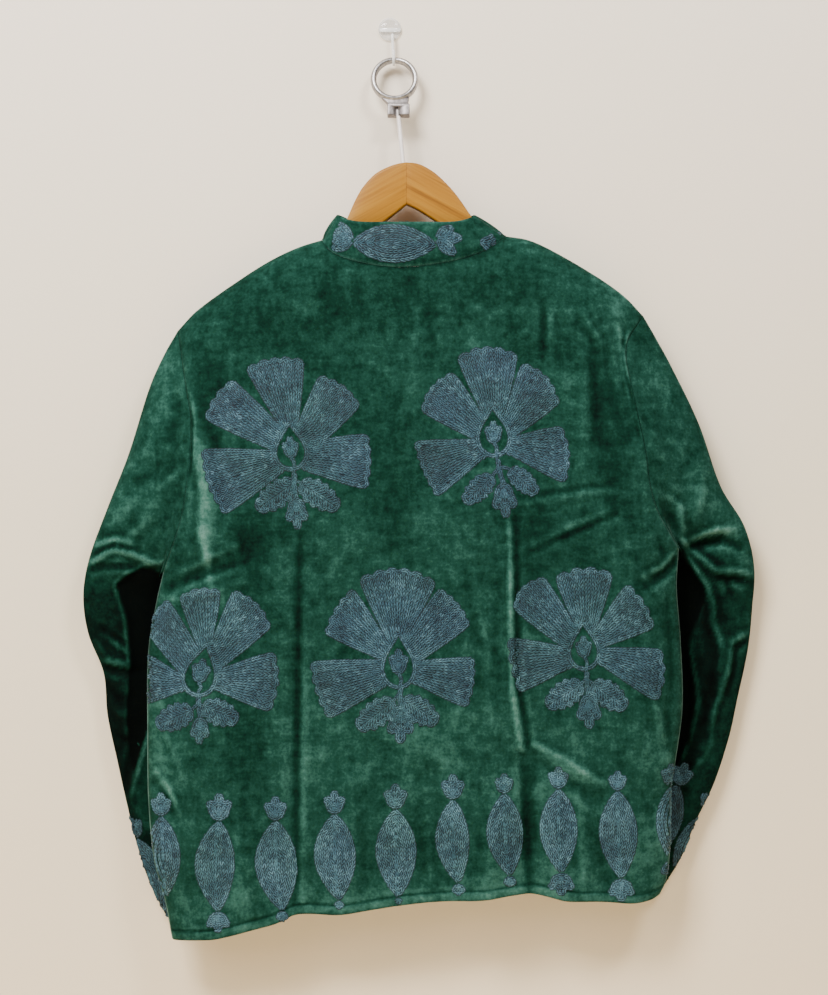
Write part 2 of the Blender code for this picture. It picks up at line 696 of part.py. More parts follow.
def ring_build(wire, around=40, sides=10):
    """Builds the closed ring, or a fatter one that cuts its seat."""

    def build(shape):
        loops = []
        for i in range(around):
            turn = 2 * math.pi * i / around
            loop = []
            for j in range(sides):
                angle = 2 * math.pi * (j + 0.5) / sides
                reach = RING_RADIUS + wire * math.cos(angle)
                flat = (reach * math.sin(turn), wire * math.sin(angle), reach * math.cos(turn))
                lean_y = flat[1] * math.cos(RING_LEAN) + flat[2] * math.sin(RING_LEAN)
                lean_z = flat[2] * math.cos(RING_LEAN) - flat[1] * math.sin(RING_LEAN)
                loop.append(tuple(a + b for a, b in zip(RING_CENTRE, (flat[0], lean_y, lean_z))))
            loops.append(loop)
        points = add_points(shape, loops)
        for i in range(around):
            a, b = points[i], points[(i + 1) % around]
            for j in range(sides):
                k = (j + 1) % sides
                shape.faces.new((a[j], a[k], b[k], b[j]))

    return build


def pad_build(shape, sides=32):
    """The round wall pad, flat on the wall and chamfered towards the room."""
    chamfer = 0.8
    profile = [(PAD_RADIUS, 0.0), (PAD_RADIUS, -PAD_THICK + chamfer), (PAD_RADIUS - chamfer, -PAD_THICK)]
    loops = []
    for radius, y in profile:
        angles = [2 * math.pi * k / sides for k in range(sides)]
        loops.append([(radius * math.cos(a), y, radius * math.sin(a)) for a in angles])
    points = add_points(shape, loops)
    for a, b in zip(points, points[1:]):
        for j in range(sides):
            k = (j + 1) % sides
            shape.faces.new((a[j], a[k], b[k], b[j]))
    shape.faces.new(points[0])
    shape.faces.new(list(reversed(points[-1])))


def clamp_build(shape):
    """The clamp's block, leaning with the ring."""
    half = [size / 2 for size in CLAMP_SIZE]
    loops = []
    for side_x in (-1, 1):
        loop = []
        for side_y, side_z in ((-1, -1), (1, -1), (1, 1), (-1, 1)):
            y, z = side_y * half[1], side_z * half[2]
            lean_y = y * math.cos(RING_LEAN) + z * math.sin(RING_LEAN)
            lean_z = z * math.cos(RING_LEAN) - y * math.sin(RING_LEAN)
            loop.append((CLAMP_CENTRE[0] + side_x * half[0], CLAMP_CENTRE[1] + lean_y, CLAMP_CENTRE[2] + lean_z))
        loops.append(loop)
    left, right = add_points(shape, loops)
    for j in range(4):
        k = (j + 1) % 4
        shape.faces.new((left[j], left[k], right[k], right[j]))
    shape.faces.new(left)
    shape.faces.new(list(reversed(right)))


def prong_object():
    """The wall pad's small J, bent from round wire."""
    curve = bpy.data.curves.new("wall_prong", "CURVE")
    curve.dimensions = "3D"
    curve.bevel_depth = PRONG_WIRE * MM
    curve.bevel_resolution = 2
    curve.use_fill_caps = True
    line = curve.splines.new("POLY")
    path = Path(PRONG_PATH)
    count = 26
    line.points.add(count - 1)
    for k in range(count):
        x, y, z = path(k / (count - 1))
        line.points[k].co = (x * MM, y * MM, z * MM, 1)
    thing = bpy.data.objects.new("wall_prong", curve)
    bpy.data.collections[COLLECTION].objects.link(thing)
    weld = thing.modifiers.new("Weld", "WELD")
    weld.merge_threshold = 1e-6
    return thing


def cut(thing, cutter):
    """Takes the cutter out of the thing and keeps it as a hidden helper."""
    for collection in list(cutter.users_collection):
        collection.objects.unlink(cutter)
    bpy.data.collections[CUTTERS].objects.link(cutter)
    cutter.hide_render = True
    cutter.display_type = "WIRE"
    hole = thing.modifiers.new("Cut " + cutter.name, "BOOLEAN")
    hole.operation = "DIFFERENCE"
    hole.solver = "EXACT"
    hole.object = cutter


def paint(thing, colour, roughness, metallic=0.0):
    material = bpy.data.materials.new(thing.name)
    material.use_nodes = True
    shader = material.node_tree.nodes["Principled BSDF"]
    shader.inputs["Base Color"].default_value = (*colour, 1)
    shader.inputs["Roughness"].default_value = roughness
    shader.inputs["Metallic"].default_value = metallic
    material.diffuse_color = (*colour, 1)
    thing.data.materials.append(material)


COLLECTION = "suzani_jacket"
CUTTERS = "cutters"
VELVET = (0.018, 0.075, 0.052)
WOOD = (0.56, 0.31, 0.08)
STEEL = (0.62, 0.6, 0.58)
BODY_ALL_ROWS = BODY_ROWS + ARM_ROWS
BACK_COLUMNS = SIDE_COLUMNS + NECK_COLUMNS + [1 - u for u in reversed(SIDE_COLUMNS)]
FRONT_COLUMNS = FRONT_SIDE_COLUMNS + FRONT_NECK_COLUMNS


def make_cloth():
    back, fronts = make_panels()
    back_outer, back_inner = panel_grid(back, BACK_COLUMNS, BODY_ALL_ROWS)
    front_grids = {}
    for name, front in fronts.items():
        columns = FRONT_COLUMNS if name == "left" else [1 - u for u in reversed(FRONT_COLUMNS)]
        front_grids[name] = (*panel_grid(front, columns, BODY_ALL_ROWS), columns)
    cloths = [mesh_object("back_panel", shell_from(back_outer, back_inner))]
    for name, (outer, inner, _) in front_grids.items():
        cloths.append(mesh_object("front_" + name, shell_from(outer, inner)))
    for name, table, column, way in (("left", LEFT_SLEEVE, 0, -1), ("right", RIGHT_SLEEVE, -1, 1)):
        outer_front, inner_front, _ = front_grids[name]
        shift = way * ARMHOLE_SHIFT
        rings = []
        for back_grid, front_grid in ((back_outer, outer_front), (back_inner, inner_front)):
            rings.append(armhole_ring(back_grid, front_grid, BODY_ALL_ROWS, column, shift))
        outer, inner = sleeve_grid(table, *rings)
        cloths.append(mesh_object("sleeve_" + name, shell_from(outer, inner, ring=True)))
    outer, inner = collar_grid(back_outer, back_inner, front_grids)
    cloths.append(mesh_object("collar", shell_from(outer, inner)))
    for cloth in cloths:
        paint(cloth, VELVET, 0.9)


def make_hardware():
    hanger = mesh_object("hanger", hanger_build)
    paint(hanger, WOOD, 0.4)
    stem = mesh_object("hanger_stem", tube_between(STEM_TOP, STEM_FOOT, STEM_RADIUS, 14))
    way = unit(minus(STEM_FOOT, STEM_TOP))
    bore_start = step_along(STEM_TOP, way, -BORE_GAP)
    bore_end = step_along(STEM_FOOT, way, BORE_GAP)
    cut(hanger, mesh_object("stem_bore", tube_between(bore_start, bore_end, STEM_RADIUS + BORE_GAP, 14)))
    clamp = mesh_object("ring_clamp", clamp_build)
    cut(clamp, mesh_object("ring_seat", ring_build(RING_WIRE + BORE_GAP)))
    cut(clamp, mesh_object("clamp_bore", tube_between(bore_start, bore_end, STEM_RADIUS + BORE_GAP, 14)))
    ring = mesh_object("hanger_ring", ring_build(RING_WIRE))
    pad = mesh_object("wall_pad", pad_build)
    prong = prong_object()
    for thing in (stem, clamp, ring):
        paint(thing, STEEL, 0.3, 1.0)
    paint(pad, (0.85, 0.86, 0.86), 0.15)
    paint(prong, (0.85, 0.86, 0.86), 0.15)


def main():
    for thing in list(bpy.data.objects):
        bpy.data.objects.remove(thing)
    for name in (COLLECTION, CUTTERS):
        bpy.context.scene.collection.children.link(bpy.data.collections.new(name))
    make_cloth()
    make_hardware()


main()
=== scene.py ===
"""Looks of the embroidered velvet jacket on its wooden hanger, seen from behind.

Sizes are in millimetres until a mesh is made. The frame is the CAD model's: the wall is the plane
y = 0, the jacket hangs on its -Y side with its back outward, +X is right and +Z is up.
"""

import math

import bpy
import numpy as np
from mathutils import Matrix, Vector, noise
from mathutils.bvhtree import BVHTree


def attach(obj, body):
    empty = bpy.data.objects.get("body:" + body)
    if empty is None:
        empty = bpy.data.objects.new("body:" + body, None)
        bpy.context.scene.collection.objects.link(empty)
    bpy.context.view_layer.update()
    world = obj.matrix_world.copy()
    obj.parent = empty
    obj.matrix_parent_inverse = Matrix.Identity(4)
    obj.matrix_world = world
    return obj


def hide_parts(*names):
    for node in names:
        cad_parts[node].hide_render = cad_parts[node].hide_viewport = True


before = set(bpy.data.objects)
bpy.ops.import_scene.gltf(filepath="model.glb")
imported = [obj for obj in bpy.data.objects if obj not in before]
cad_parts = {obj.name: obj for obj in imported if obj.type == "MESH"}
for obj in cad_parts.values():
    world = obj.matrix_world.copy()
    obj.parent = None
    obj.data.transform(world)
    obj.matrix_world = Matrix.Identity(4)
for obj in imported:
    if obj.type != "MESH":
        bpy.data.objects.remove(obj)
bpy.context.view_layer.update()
MM = 0.001

# Camera: level, in front of the back of the jacket
EYE = (26.0, -1957.0, -502.0)
LENS = 66.0

# Cloth, with the same values as the solids
WALL = 2.0
COLLAR_WALL = 2.6
SEAM_GAP = 0.2
ARMHOLE_SHIFT = 0.24
COLLAR_LIFT = 0.26
FRONT_X = 26.0
FRONT_PARTING = 1.2
SHOULDER_Y = -37.0
UNDERARM_Y = -49.0
BACK_DEPTH = 23.0
FRONT_DEPTH = 20.0
ARM_DEPTH = 20.0
NECK_DEPTH_BACK = 20.0
NECK_DEPTH_FRONT = 19.0
NECK_SQUARE = 0.45
SHOULDER_REACH = 62.0
BACK_SIDE_REACH = 66.0
FRONT_SIDE_REACH = 150.0
UNDERARM_ROW = 0.585
ARM_REACH_FROM = 0.54
NECK_FROM, NECK_TO = 0.30, 0.70
FRONT_NECK_FROM = 0.60
FRONT_HEM_LIFT = 4.0
FRONT_HEM_LIFT_BY = 0.17
FRONT_NECK_Z = -300.0
FRONT_NECK_BOW = 9.0

# Outlines as (x, z)
LEFT_SHOULDER = [(-222, -326), (-202, -305), (-153, -270), (-122, -251), (-95, -238.5), (-71, -231)]
RIGHT_SHOULDER = [(122.5, -227), (146, -231), (171, -242), (219, -270), (248, -291), (267, -311)]
BACK_NECK = [(-71, -231), (-60, -245), (-37, -255), (9, -262), (65, -255.5), (103, -242.5), (122.5, -227)]
LEFT_ARMHOLE = [(-236.5, -581), (-216.5, -525), (-208, -471), (-206, -422), (-212, -386), (-222, -326)]
RIGHT_ARMHOLE = [(303, -556), (280, -517), (271, -487), (267, -455), (256, -401), (248, -345), (267, -311)]
LEFT_SIDE = [(-227, -963), (-235, -922), (-246, -881), (-252, -819), (-253, -744), (-252, -662),
             (-243, -609), (-236.5, -581)]
RIGHT_SIDE = [(284, -915), (290, -901), (294, -870), (295, -808), (300, -776), (307, -721),
              (305, -651), (301, -596), (303, -556)]
BACK_HEM = [(-227, -963), (-202, -961), (-179, -959), (-149, -951), (-118, -943), (-94, -933), (-50, -933),
            (11, -924), (60, -919.5), (96, -918.5), (129, -913.5), (147, -912), (164, -914.5), (186, -919.5),
            (216, -920), (253, -922.5), (272, -920), (284, -915)]

# The cloth's grid: the shares where it is sewn or turns, and how close its lines are
BACK_TURNS = [0, 0.008, 0.024, 0.05, 0.085, 0.30, 0.318, 0.342, 0.658, 0.682, 0.70, 0.915, 0.95, 0.976,
              0.992, 1.0]
FRONT_TURNS = [0, 0.016, 0.05, 0.11, 0.60, 0.624, 0.66, 1.0]
ROW_TURNS = [0, 0.0045, 0.0105, 0.013, 0.0155, 0.05, 0.572, 0.585, 0.602, 0.635, 0.92, 0.953, 0.978,
             0.992, 1.0]
BACK_STEP, BACK_ROW_STEP = 0.0046, 0.0038
FRONT_STEP, FRONT_ROW_STEP = 0.012, 0.0076
SLEEVE_ROWS = 168
SLEEVE_ROW_POWER = 1.25
SLEEVE_ROUND = 0.62
TINY = 1e-9

# The turned edge of the hem, its groove of stitches, the painted highlight on its turned edge and painted
# shade along the groove, and where the middle plane leans back
HEM_TURN = 9.5
HEM_GROOVE, HEM_GROOVE_HALF = 0.6, 1.7
HEM_RISE = 0.6
HEM_PAINTED_HIGHLIGHT, HEM_LINE_PAINTED_SHADE, HEM_LINE_HALF = 0.03, 0.05, 1.8
MIDDLE_TURN_Z, MIDDLE_TURN_OVER = -300, 260

# Where large and fine folds of a panel die out below its top, and towards the swell of its sides
LARGE_FROM_TOP, LARGE_FROM_SIDE, LARGE_OVER = 0.03, 0.2, 0.2
FINE_FROM_TOP, FINE_FROM_SIDE, FINE_OVER = 0.02, 0.05, 0.3

# Sleeves: rows until the fine folds are whole, and how much of them shows on the wall's side
SLEEVE_FOLD_ROWS = 9
WALL_SIDE_FOLDS, WALL_SIDE_HOLLOWS = 0.8, 0.3
# The least depth left between a sleeve's faces, and the shares of the rest that a fold may take
SLEEVE_LEAST = 3.4
SLEEVE_ROOM, WALL_SIDE_ROOM = 0.75, 0.25

# Rumples of the cloth: size, height, and a step that keeps them apart
PANEL_RUMPLES = [(62, 1.1, 0), (17, 0.35, 5)]
SLEEVE_RUMPLES = [(50, 1.0, 0), (15, 0.35, 3)]
RUMPLE_SEEDS = {
    "back": 3.0,
    "front_left": 11.0,
    "front_right": 17.0,
    "sleeve_left": 23.0,
    "sleeve_right": 29.0,
}

# Folds: points (x, z) along each, its width, and how far it stands out (+) or in (-)
BACK_FOLDS = [
    ([(127, -545), (124, -640), (129, -705)], 24, 2.5),
    ([(127, -705), (138, -765)], 22, 2.6),
    ([(143, -770), (147, -925)], 24, -4.5),
    ([(170, -800), (176, -925)], 24, 4.5),
    ([(110, -820), (104, -925)], 26, 3.5),
    ([(-93, -560), (-96, -760), (-99, -935)], 20, -2.2),
    ([(-40, -800), (-46, -935)], 34, 3.5),
    ([(40, -790), (44, -925)], 34, -3.5),
    ([(-150, -860), (-152, -950)], 30, 4.0),
    ([(228, -860), (232, -922)], 26, -4.0),
    ([(-205, -415), (-190, -480), (-186, -560)], 28, 4.0),
    ([(-225, -590), (-150, -556)], 22, -4.0),
    ([(262, -430), (243, -330)], 22, -5.0),
    ([(300, -570), (262, -590)], 22, -4.0),
]
FRONT_FOLDS = [
    ([(-80, -700), (-92, -940)], 34, 4.0),
    ([(-160, -640), (-150, -950)], 34, -2.0),
    ([(-20, -720), (-30, -935)], 30, -4.0),
    ([(90, -690), (80, -925)], 32, 4.0),
    ([(60, -420), (130, -640)], 40, -3.0),
    ([(-40, -420), (-110, -640)], 40, -3.0),
]
FRONT_FINE_FOLDS = [
    ([(-190, -380), (-150, -450), (-140, -520)], 14, 2.2),
    ([(-200, -560), (-150, -600), (-120, -660)], 12, -2.2),
    ([(-60, -330), (-70, -420)], 14, 1.4),
    ([(-110, -700), (-104, -800), (-110, -920)], 12, -1.8),
    ([(230, -400), (200, -470), (190, -540)], 14, 2.0),
    ([(270, -600), (220, -620), (180, -680)], 12, -2.2),
    ([(120, -330), (116, -430)], 14, 1.4),
    ([(170, -720), (160, -820), (168, -905)], 14, 1.8),
    ([(70, -560), (66, -700)], 12, -1.4),
    ([(-20, -500), (-14, -640)], 12, -1.4),
]
FINE_FOLDS = [
    ([(124, -520), (126, -608), (127, -701), (137, -761)], 7, 2.4),
    ([(131, -525), (133, -608), (134, -691), (144, -758)], 8, -2.2),
    ([(113, -567), (111, -701)], 18, -1.4),
    ([(137, -768), (141, -830), (146, -908)], 9, -1.5),
    ([(150, -757), (180, -770), (206, -788), (222, -797)], 8, 1.8),
    ([(157, -774), (156, -903)], 14, 1.2),
    ([(135, -763), (134, -846)], 16, 1.6),
    ([(-92, -541), (-95, -712), (-96, -918)], 8, -1.1),
    ([(-86, -608), (-89, -918)], 12, 1),
    ([(-207, -399), (-192, -470), (-194, -541)], 18, 1.8),
    ([(-192, -535), (-184, -598)], 12, 2.4),
    ([(-212, -430), (-199, -499), (-203, -546)], 11, -2.2),
    ([(-179, -442), (-173, -505), (-179, -567)], 14, -1.8),
    ([(-228, -585), (-195, -570), (-159, -552)], 10, 2),
    ([(-224, -594), (-190, -581), (-147, -567)], 10, -2.4),
    ([(-224, -608), (-185, -602), (-154, -589)], 12, 1.6),
    ([(240, -326), (246, -366), (255, -408), (268, -446)], 9, 3.2),
    ([(246, -340), (256, -400), (270, -452)], 7, -4.6),
    ([(222, -320), (232, -390), (248, -440)], 14, -1.8),
    ([(201, -352), (203, -420), (199, -470)], 14, 2.0),
    ([(214, -352), (216, -440)], 12, -1.6),
    ([(272, -474), (285, -510), (301, -551)], 9, 2.2),
    ([(297, -560), (285, -573), (265, -583)], 9, 2.6),
    ([(297, -569), (285, -582), (268, -594)], 9, -2.2),
    ([(280, -546), (289, -567)], 10, -2),
    ([(135, -502), (177, -494), (228, -488)], 6.5, -0.9),
    ([(135, -508), (177, -502), (228, -494)], 9, 1),
    ([(148, -557), (193, -537), (236, -519)], 6.5, -1.1),
    ([(150, -549), (193, -528), (236, -511)], 9, 0.8),
    ([(160, -298), (160, -356)], 9, -1.5),
    ([(168, -298), (168, -349)], 9, 1),
    ([(203, -311), (213, -329), (223, -342)], 8, 1.7),
    ([(197, -318), (216, -349)], 9, -1.5),
    ([(150, -758), (182, -780), (218, -799)], 14, 2),
    ([(156, -776), (187, -797), (218, -815)], 14, -1.6),
    ([(-242, -786), (-228, -802), (-216, -828)], 7, 1.8),
    ([(-246, -798), (-232, -812), (-222, -834)], 8, -1.4),
    ([(-236, -740), (-222, -762), (-214, -790)], 9, 1.0),
    ([(-44, -265), (-38, -329)], 16, 1.2),
    ([(43, -267), (40, -339), (36, -422)], 20, -1.2),
    ([(-20, -298), (-18, -422)], 24, 1.2),
    ([(-138, -536), (-131, -567)], 20, -1.2),
    ([(74, -567), (92, -649), (94, -732)], 16, -1.2),
    ([(260, -618), (270, -691), (289, -774)], 12, 1.6),
    ([(289, -598), (293, -691), (289, -763)], 12, -1.8),
    ([(214, -815), (220, -898)], 16, -1.4),
    ([(196, -805), (200, -908)], 12, 1.6),
    ([(-162, -815), (-156, -944)], 20, 1.6),
    ([(-30, -815), (-26, -924)], 20, -1.4),
    ([(38, -805), (43, -918)], 16, 1.2),
]
SLEEVE_FOLDS = [
    ([(-318, -562), (-250, -590)], 22, 3.5),
    ([(-300, -640), (-255, -690)], 20, -3.0),
    ([(-300, -700), (-262, -760)], 24, 3.0),
    ([(378, -582), (315, -572)], 22, 3.5),
    ([(362, -538), (312, -556)], 18, -4.0),
    ([(350, -650), (322, -600)], 22, -3.0),
    ([(340, -735), (352, -665)], 22, 3.0),
]
FINE_SLEEVE_FOLDS = [
    ([(-320, -560), (-312, -551), (-301, -545), (-290, -542), (-276, -548)], 9, 3.0),
    ([(-321, -575), (-307, -563), (-297, -554), (-288, -553), (-275, -559), (-262, -568), (-245, -581)],
     8, 4.2),
    ([(-314, -575), (-300, -572), (-285, -573), (-270, -575)], 8, -3.6),
    ([(-305, -556), (-290, -549), (-276, -554)], 6, -2.4),
    ([(-288, -593), (-280, -616), (-277, -630), (-274, -677)], 7, 3.4),
    ([(-297, -649), (-287, -658), (-275, -665)], 7, 2.6),
    ([(-311, -654), (-305, -663), (-299, -673)], 7, 2.2),
    ([(-304, -640), (-292, -650), (-280, -658)], 8, -2.0),
    ([(-308, -682), (-290, -686), (-274, -689), (-257, -685)], 9, -4.2),
    ([(-309, -674), (-291, -677), (-275, -679)], 8, 2.0),
    ([(-300, -700), (-290, -712), (-276, -716)], 9, -2.2),
    ([(-297, -722), (-286, -730), (-270, -734)], 9, 1.8),
    ([(-288, -752), (-276, -760), (-262, -758)], 9, -2.0),
    ([(-257, -747), (-266, -781), (-276, -820)], 7, 3.2),
    ([(-268, -747), (-276, -781), (-284, -812)], 8, -2.4),
    ([(-252, -484), (-262, -526), (-283, -545)], 14, 1.8),
    ([(-239, -494), (-246, -547)], 12, -2),
    ([(-231, -431), (-236, -484), (-252, -536)], 16, -1.4),
    ([(-268, -484), (-292, -526)], 16, 1.6),
    ([(-232, -356), (-239, -420), (-243, -470)], 8, -2.0),
    ([(-241, -372), (-262, -440), (-292, -488)], 20, 1.8),
    ([(-260, -873), (-252, -904)], 10, 1.6),
    ([(307, -519), (308, -536), (310, -553)], 8, -5.0),
    ([(314, -514), (314, -536), (312, -552)], 7, 3.0),
    ([(316, -552), (334, -540), (349, -534), (364, -533)], 9, 3.6),
    ([(322, -556), (337, -549), (351, -545), (369, -552)], 10, -5.0),
    ([(316, -554), (330, -566), (343, -578), (356, -584)], 6, 3.6),
    ([(349, -586), (365, -588), (383, -592)], 6, -3.4),
    ([(349, -577), (366, -579), (382, -582)], 7, 1.8),
    ([(312, -566), (332, -593), (341, -612), (342, -636), (347, -648), (351, -658)], 6, 3.6),
    ([(315, -661), (322, -695), (328, -727)], 6, 2.6),
    ([(354, -586), (357, -593), (360, -602)], 6, -2.2),
    ([(366, -653), (374, -648), (381, -646)], 7, 2.6),
    ([(368, -660), (376, -656), (382, -654)], 7, -2.4),
    ([(362, -653), (361, -670), (359, -684), (353, -701), (350, -716)], 7, 2.8),
    ([(368, -664), (366, -690), (359, -708)], 8, -1.8),
    ([(345, -718), (339, -748)], 7, 2.2),
    ([(337, -470), (331, -500), (326, -528)], 12, 2.2),
    ([(285, -399), (297, -452), (308, -494)], 14, 1.6),
    ([(327, -431), (316, -473), (316, -505)], 14, -1.6),
    ([(327, -778), (340, -757)], 12, 2),
    ([(280, -378), (289, -431)], 10, -1.8),
    ([(350, -612), (356, -640)], 12, -1.6),
    ([(341, -690), (334, -730), (322, -765)], 12, -1.8),
]

# Hollows of the sleeves: corners (x, z), softness of the edge, how far in, and painted lightness: painted
# shade in the hollows, a painted highlight where it is above 0
DEPTH, PAINTED_LIGHTNESS = 2, 3    # the last two columns
HOLLOWS = [
    ([(-288, -594), (-274, -583), (-262, -577), (-251, -578), (-220, -588), (-220, -747), (-257, -747),
      (-271, -792), (-277, -740), (-274, -677), (-277, -630)], 5.0, -3.0, -0.34),
    ([(-312, -690), (-290, -694), (-257, -692), (-257, -747), (-276, -822), (-292, -800)], 9.0, -1.0, -0.11),
    ([(-257, -747), (-220, -747), (-220, -880), (-262, -850), (-276, -822)], 3.0, 0.0, 0.10),
    ([(310, -557), (321, -578), (333, -600), (330, -618), (319, -645), (316, -658), (319, -684), (323, -706),
      (322, -728), (316, -758), (304, -784), (282, -792), (282, -560)], 5.0, -3.0, -0.32),
    ([(318, -576), (332, -594), (341, -613), (342, -636), (349, -656), (345, -716), (337, -769), (310, -800),
      (290, -800), (290, -578)], 5.0, -1.5, -0.10),
]

# Sleeves, section by section: outer x, outer z, inner x, inner z
LEFT_SLEEVE = [
    (-222, -326, -236.5, -581), (-237, -352, -239.3, -583.5), (-252, -385, -241.0, -586.5),
    (-275, -457, -240.5, -591), (-297, -512, -238.0, -596), (-317, -566, -233.0, -602),
    (-324, -605, -224.0, -611), (-320, -645, -209.0, -625), (-304, -688, -187.0, -656),
    (-300, -733, -168.0, -702), (-290, -780, -156.0, -752), (-280, -825, -146.0, -800),
    (-269, -870, -135.0, -848), (-255, -912, -123.0, -893), (-238, -946, -110.0, -928),
]
RIGHT_SLEEVE = [
    (267, -311, 303, -556), (281, -335, 305.8, -558.5), (297, -364, 307, -561.5), (326, -424, 306, -566),
    (350, -491, 303, -571), (375, -532, 298, -577), (386, -575, 287, -587), (385, -618, 270, -603),
    (381, -663, 249, -636), (370, -716, 233, -686), (361, -757, 222, -730), (345, -806, 212, -776),
    (325, -848, 202, -822), (311, -883, 192, -862), (293, -913, 180, -893),
]
# The same sections of both sleeves: outer y, inner y, half depth, and the armhole's share in their shape
SLEEVE_SECTIONS = [
    (-37, -49, 20, 1.00), (-36, -46, 20, 0.86), (-35, -41, 19.5, 0.68), (-34, -34, 18.5, 0.42),
    (-32, -27, 16.5, 0.22), (-29, -20.5, 14, 0.08), (-25, -16.5, 12.5, 0.0), (-20, -15.0, 11.5, 0.0),
    (-16.5, -14.5, 11, 0.0),
] + 6 * [(-15.5, -14.5, 11, 0.0)]

# Collar
COLLAR_ROWS = 12
COLLAR_BOW = 2.0
COLLAR_TOP_X = 18.0
COLLAR_TAKE_IN = 0.755
COLLAR_TOP_BACK = -214.5
COLLAR_TOP_SIDE = -204.5
COLLAR_TOP_FRONT = -262.0
COLLAR_LINES = [(0.09, 0.35), (0.90, 0.30)]    # lines of stitches: share of its height, and depth
COLLAR_LINE_HALF = 0.03
COLLAR_ROUND_FROM, COLLAR_ROUNDING = 0.94, 0.9

# Painted light on the velvet: how much painted highlight and shade ridges, troughs and height take, and how
# much painted shade the sleeves take
PAINTED_LIGHT_OF_BEND, PAINTED_LIGHT_OF_HEIGHT = 0.75, 0.008
PAINTED_LIGHT_LIMITS = (-0.14, 0.17)
# Painted highlight on the collar's first and last row, and painted shade on its second, along its seams
COLLAR_EDGE_SHADING = (0.16, -0.05, 0.10)    # its first, second and last row
# Painted shade on the left and right sleeve from the elbow down
SLEEVE_PAINTED_SHADE = {-1: -0.17, 1: -0.13}    # left and right, from the elbow down
ELBOW_Z = -566

# Painted highlights and shade on the velvet, among them a painted shadow under the collar: points (x, z)
# along each, its width, and lightness
BACK_PAINTED_LIGHT = [
    (BACK_NECK, 6, -0.14),
    ([(-200, -770), (60, -760), (250, -770)], 110, 0.07),
    ([(-210, -925), (-60, -915), (60, -915), (170, -900), (270, -895)], 46, 0.09),
    ([(238, -860), (268, -890)], 60, 0.07),
    ([(-240, -720), (-236, -800)], 30, 0.10),
    ([(-246, -640), (-246, -680)], 24, -0.08),
    ([(-150, -290), (30, -290), (120, -280)], 70, -0.05),
    ([(222, -268), (244, -290), (240, -335)], 24, 0.11),
    ([(-130, -330), (-80, -335), (-50, -400)], 40, -0.04),
    ([(140, -320), (142, -345)], 34, -0.05),
    ([(-50, -420), (-5, -470)], 70, -0.07),
    ([(-92, -480), (-95, -620), (-96, -760)], 16, -0.03),
    ([(-143, -520), (-150, -580)], 44, -0.11),
    ([(-104, -560), (-112, -580)], 30, 0.05),
    ([(40, -515), (60, -530)], 44, 0.07),
    ([(-4, -500), (0, -530)], 36, -0.08),
    ([(142, -500), (146, -590)], 40, -0.07),
    ([(187, -545), (200, -575)], 44, -0.06),
    ([(235, -500), (240, -530)], 30, -0.06),
    ([(186, -372), (190, -400)], 22, 0.06),
    ([(212, -350), (222, -430), (233, -505)], 26, -0.08),
    ([(230, -298), (241, -345), (254, -412), (268, -453)], 16, 0.04),
    ([(252, -380), (262, -430), (270, -456)], 8, -0.13),
    ([(280, -516), (292, -530)], 26, 0.08),
    ([(-198, -456), (-188, -510), (-186, -550), (-176, -600)], 40, 0.09),
    ([(-186, -370), (-180, -460)], 30, -0.09),
    ([(-150, -690), (-146, -760), (-146, -830)], 44, -0.07),
    ([(-96, -700), (-96, -800)], 30, -0.01),
    ([(44, -655), (48, -715)], 26, -0.08),
    ([(-50, -745), (-48, -820)], 34, -0.04),
    ([(-4, -750), (-2, -815)], 34, -0.03),
    ([(188, -745), (186, -815)], 30, 0.07),
    ([(234, -740), (236, -820)], 36, -0.05),
    ([(284, -800), (284, -880)], 24, 0.08),
    ([(140, -690), (150, -900)], 20, -0.02),
    ([(126, -580), (125, -650), (130, -705), (140, -745)], 8, 0.03),
    ([(136, -560), (136, -700), (150, -760)], 12, -0.03),
]
SLEEVE_PAINTED_LIGHT = [
    ([(-236, -345), (-244, -410)], 34, 0.08),
    ([(-246, -490), (-262, -540)], 44, 0.05),
    ([(-285, -512), (-300, -530)], 34, 0.08),
    ([(284, -365), (290, -395)], 30, 0.06),
    ([(318, -490), (350, -518), (362, -526)], 30, 0.08),
    ([(330, -556), (352, -572)], 26, -0.15),
    ([(380, -590), (381, -650)], 26, 0.06),
    ([(330, -765), (338, -785)], 26, 0.07),
]

# Embroidery: rows of chain stitch
ROW_GAP = 3.8         # between two rows of stitches
STITCH = 4.2          # length of one link
LINK_WIDE = 4.1
LINK_HIGH = 1.25
FAN_POINTS = 60       # along each side of a petal
SEEN_Y, BEHIND_Y = -75.0, 40.0    # planes from which places on the back and on the fronts are given

